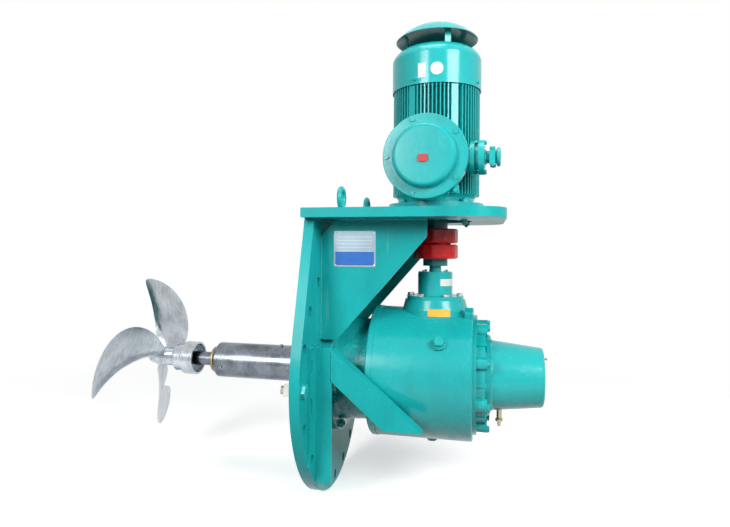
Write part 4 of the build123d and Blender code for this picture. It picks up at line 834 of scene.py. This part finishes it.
@dataclass
class Plates:
    """Blank plates and labels, riveted or stuck on."""

    thick: float = 0.0009
    raised: float = 0.0003

    def slab(self, bm: bmesh.types.BMesh, width: float, height: float, thick: float, place: Matrix,
             round_by: float = 0.003) -> None:
        """A thin plate with rounded corners, lying on its place's XY plane."""
        known = set(bm.verts)
        bmesh.ops.create_cube(bm, size=1.0)
        fresh = [v for v in bm.verts if v not in known]
        bmesh.ops.scale(bm, verts=fresh, vec=(width, height, thick))
        bmesh.ops.translate(bm, verts=fresh, vec=(0, 0, thick / 2))
        edges = {e for v in fresh for e in v.link_edges}
        upright = [e for e in edges if abs(e.verts[0].co.z - e.verts[1].co.z) > 0.5 * thick]
        bmesh.ops.bevel(bm, geom=upright, offset=round_by, segments=4, profile=0.5, affect="EDGES",
                        material=-1)
        bmesh.ops.transform(bm, matrix=place, verts=[v for v in bm.verts if v not in known])

    def rating_plate(self) -> None:
        """The blank rating plate on the near gusset, silver above and blue below."""
        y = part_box("gusset_near")[0][1]
        spot = Matrix.Translation((0.1355, y, 0.394)) @ Matrix.Rotation(math.radians(90), 4, "X")
        wide, tall = 0.129, 0.108

        def back(bm: bmesh.types.BMesh) -> None:
            """Adds the plate's body and its raised border."""
            self.slab(bm, wide, tall, self.thick, spot)
            for sign in (1, -1):
                at = spot @ Matrix.Translation((0, sign * (tall / 2 - 0.0055), self.thick))
                self.slab(bm, wide - 0.008, 0.0016, self.raised, at, 0.0004)

        def band(bm: bmesh.types.BMesh) -> None:
            """Adds the blue lower field."""
            at = spot @ Matrix.Translation((0, -0.265 * tall, self.thick))
            self.slab(bm, wide - 0.010, 0.37 * tall, self.raised, at, 0.002)

        def rules(bm: bmesh.types.BMesh) -> None:
            """Adds thin engraved rules on the silver field."""
            for row in range(5):
                at = Matrix.Translation((0.0, 0.036 - 0.0105 * row, self.thick))
                self.slab(bm, wide - 0.022, 0.0006, 0.0002, spot @ at, 0.0002)

        def rivets(bm: bmesh.types.BMesh) -> None:
            """Adds the four corner rivets."""
            for sx in (-1, 1):
                for sy in (-1, 1):
                    corner = (sx * (wide / 2 - 0.005), sy * (tall / 2 - 0.005), self.thick)
                    lathe(bm, [(0, 0), (0.0030, 0), (0.0027, 0.0009), (0.0015, 0.0017), (0, 0.0019)],
                          spot @ Matrix.Translation(corner), 16)

        piece("rating_plate", back, SILVER_PLATE, Body.FRAME, Slot.ZINC)
        piece("rating_plate_band", band, BLUE_PLATE, Body.FRAME, Slot.ZINC)
        piece("rating_plate_rules", rules, ZINC, Body.FRAME, Slot.ZINC)
        piece("rating_plate_rivets", rivets, ZINC, Body.FRAME, Slot.ZINC)

    def wrapped(self, name: str, radius: float, heights: tuple[float, float], angles: tuple[float, float],
                finish: Any, slope: float = 0.0) -> None:
        """A label stuck round part of the upright axis.

        Args:
            name: the piece's name.
            radius: of the surface under its lower edge.
            heights: its lower and upper edge.
            angles: degrees from -Y towards +X where it starts and ends.
            finish: its finish.
            slope: how much the radius shrinks from the lower to the upper edge.
        """
        x = middle("motor_shaft").x
        start, end = (math.radians(a - 90.0) for a in angles)

        def wrap(bm: bmesh.types.BMesh) -> None:
            """Spins the label's section round the axis."""
            r, t = radius + LABEL_GAP, LABEL_THICK
            z0, z1 = heights
            section = [(r, z0), (r + t, z0), (r + t - slope, z1), (r - slope, z1)]
            verts = [bm.verts.new((rr, 0, zz)) for rr, zz in section]
            edges = [bm.edges.new((verts[k], verts[(k + 1) % 4])) for k in range(4)]
            cap = bm.faces.new(verts)
            bmesh.ops.rotate(bm, verts=verts, cent=(0, 0, 0), matrix=Matrix.Rotation(start, 3, "Z"))
            bmesh.ops.spin(bm, geom=verts + edges + [cap], cent=(0, 0, 0), axis=(0, 0, 1), angle=end - start,
                           steps=10)
            bmesh.ops.translate(bm, verts=bm.verts, vec=(x, 0, 0))

        piece(name, wrap, finish, Body.FRAME, Slot.ZINC)

    def build(self) -> None:
        """Makes every blank plate and label."""
        self.rating_plate()
        self.wrapped("cartridge_label", 0.055, (0.2790, 0.3010), (22.0, 80.0), WHITE_LABEL)
        self.wrapped("boss_label", 0.1048, (0.1880, 0.2110), (-7.5, 31.0), YELLOW_LABEL, 0.0024)
        self.wrapped("cowl_label", 0.1410, (0.912, 0.956), (-18.2, -8.2), WHITE_LABEL)
        self.disc("cowl_disc", 0.1410, 5.3, 0.936, 0.019, WHITE_LABEL)
        self.box_pad()

    def disc(self, name: str, radius: float, angle: float, height: float, size: float, finish: Any) -> None:
        """A round label bent onto the upright axis's surface.

        Args:
            name: the piece's name.
            radius: of the surface.
            angle: degrees from -Y towards +X of its middle.
            height: of its middle.
            size: its own radius.
            finish: its finish.
        """
        x = middle("motor_shaft").x

        def bent(bm: bmesh.types.BMesh) -> None:
            """Lays the disc flat, then bends it."""
            rings = [(size * k / 6, LABEL_THICK) for k in range(7)]
            lathe(bm, rings + [(size, 0.0)], Matrix.Identity(4), 48)
            for vert in bm.verts:
                u, v, w = vert.co
                a = math.radians(angle - 90.0) + u / radius
                r = radius + LABEL_GAP + w
                vert.co = (x + r * math.cos(a), r * math.sin(a), height + v)

        piece(name, bent, finish, Body.FRAME, Slot.ZINC)

    def box_pad(self) -> None:
        """A small blank pad on the terminal box's cover."""
        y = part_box("terminal_cover")[0][1]
        place = Matrix.Translation((0.3465, y + 0.0022, 0.650)) @ Matrix.Rotation(math.radians(90), 4, "X")
        place = place @ Matrix.Rotation(math.radians(-3.0), 4, "Y")

        def pad(bm: bmesh.types.BMesh) -> None:
            """Adds the pad."""
            self.slab(bm, 0.030, 0.022, 0.0016, place, 0.006)

        piece("box_pad", pad, RED_PAD, Body.FRAME, Slot.ZINC)


@dataclass
class SideStud:
    """Stud through the plate's side hole: thread and nut on the tank side, thin nut behind."""

    radius: float = 0.0120
    circle: float = 0.3625
    reach: float = 0.034

    def steel(self, bm: bmesh.types.BMesh) -> None:
        """Adds the stud and its front nut."""
        low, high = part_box("tank_flange")
        front = Vector((low[0], -self.circle, 0.0))
        lathe(bm, [(0, 0), (self.radius, 0), (self.radius, high[0] - low[0]), (0, high[0] - low[0])],
              aim(tuple(front), (1, 0, 0)), 32)
        threaded(bm, self.radius, self.reach - 0.002, aim(tuple(front), (-1, 0, 0)), 0.003)
        hexagon(bm, 0.036, 0.0190, aim(tuple(front), (-1, 0, 0), 12.0), 0.0215)

    def back(self, bm: bmesh.types.BMesh) -> None:
        """Adds the painted nut behind the plate."""
        face = Vector((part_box("tank_flange")[1][0], -self.circle, 0.0))
        hexagon(bm, 0.036, 0.0120, aim(tuple(face), (1, 0, 0), 5.0), 0.0215)
        threaded(bm, self.radius, 0.016, aim(tuple(face), (1, 0, 0)), 0.003)

    def build(self) -> None:
        """Makes the stud."""
        piece("side_stud", self.steel, ZINC, Body.FRAME, Slot.ZINC)
        piece("side_stud_back", self.back, TEAL, Body.FRAME, Slot.TEAL)


@dataclass
class SmallScrews:
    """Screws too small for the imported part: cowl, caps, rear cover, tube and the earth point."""

    cowl_angles: tuple[float, ...] = (-112.0, -22.0, 68.0, 158.0)
    cowl_r: float = 0.1408

    def cap_head(self, bm: bmesh.types.BMesh, place: Matrix, radius: float) -> None:
        """A socket cap head with its recess."""
        r = radius
        profile = [(r, 0), (r, 1.1 * r), (0.9 * r, 1.25 * r), (0.55 * r, 1.25 * r), (0.5 * r, 0.6 * r),
                   (0, 0.6 * r)]
        lathe(bm, profile, place, 18)

    def on_frame(self, bm: bmesh.types.BMesh) -> None:
        """Adds the screws that stay with the frame."""
        x = middle("motor_shaft").x
        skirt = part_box("fan_cowl")[0][2] + 0.016
        for angle in self.cowl_angles:
            a = math.radians(angle)
            out = (math.cos(a), math.sin(a), 0.0)
            at = (x + out[0] * self.cowl_r, out[1] * self.cowl_r, skirt)
            hexagon(bm, 0.009, 0.0036, aim(at, out), 0.0062)
        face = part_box("cartridge_cap")[1][2]
        for place in ring_places(Vector((x, 0, face)), (0, 0, 1), 0.0485, 4, 45.0):
            self.cap_head(bm, place, 0.0042)
        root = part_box("rear_cover")[1][0] + 0.008
        for place in ring_places(Vector((root, 0, 0)), (1, 0, 0), 0.117, 6, 18.0):
            hexagon(bm, 0.0098, 0.0040, place, 0.0058)

    def earth_point(self, bm: bmesh.types.BMesh) -> None:
        """Adds the earthing screw at the terminal box's rim, on its small tab."""
        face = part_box("terminal_box")[0][1] + 0.006
        bmesh.ops.create_cube(bm, size=1.0)
        bmesh.ops.scale(bm, verts=bm.verts, vec=(0.022, 0.008, 0.024))
        bmesh.ops.bevel(bm, geom=list(bm.edges), offset=0.0016, segments=2, profile=0.5, affect="EDGES",
                        material=-1)
        bmesh.ops.translate(bm, verts=bm.verts, vec=(0.433, face + 0.004, 0.565))
        hexagon(bm, 0.013, 0.0055, aim((0.434, face, 0.563), (0, -1, 0), 20.0), 0.0080)

    def on_tube(self, bm: bmesh.types.BMesh) -> None:
        """Adds the screws in the shaft tube's wall."""
        low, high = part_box("shaft_tube")
        radius = high[2]
        for at_x, angle in ((low[0] + 0.039, -15.0), (low[0] + 0.245, 78.0), (low[0] + 0.039, 165.0)):
            a = math.radians(angle)
            out = (0.0, -math.cos(a), math.sin(a))
            at = (at_x, out[1] * (radius - 0.0012), out[2] * (radius - 0.0012))
            self.cap_head(bm, aim(at, out), 0.0055)

    def build(self) -> None:
        """Makes the screws."""
        piece("small_screws", self.on_frame, TEAL, Body.FRAME, Slot.ZINC)
        piece("earth_point", self.earth_point, TEAL, Body.FRAME, Slot.TEAL)
        piece("tube_screws", self.on_tube, DARK, Body.FRAME, Slot.STAINLESS)


def dress_nodes(frame: dict[str, Any]) -> None:
    """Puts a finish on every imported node."""
    slots = {part["node"]: Slot(part["material_slot"]) for part in frame["record"]["subparts"]}
    rims = replace(RED, name="coupling_enamel", hub_r=0.041, axis_x=middle("motor_shaft").x)
    for name, thing in frame["nodes"].items():
        finish = NODE_FINISH.get(name, SLOT_FINISH[slots[name]])
        if name in ("coupling_upper", "coupling_lower"):
            finish = rims
        SHOP.dress(thing, finish)


def main() -> None:
    """Builds the scene."""
    logging.basicConfig(level=logging.INFO, format="%(message)s")
    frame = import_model()
    dress_nodes(frame)
    for group in (BoltRings(), LiftingEyes(), Welds(), Plates(), SideStud(), SmallScrews()):
        group.build()
    Studio().build()


if __name__ == "__main__":
    main()
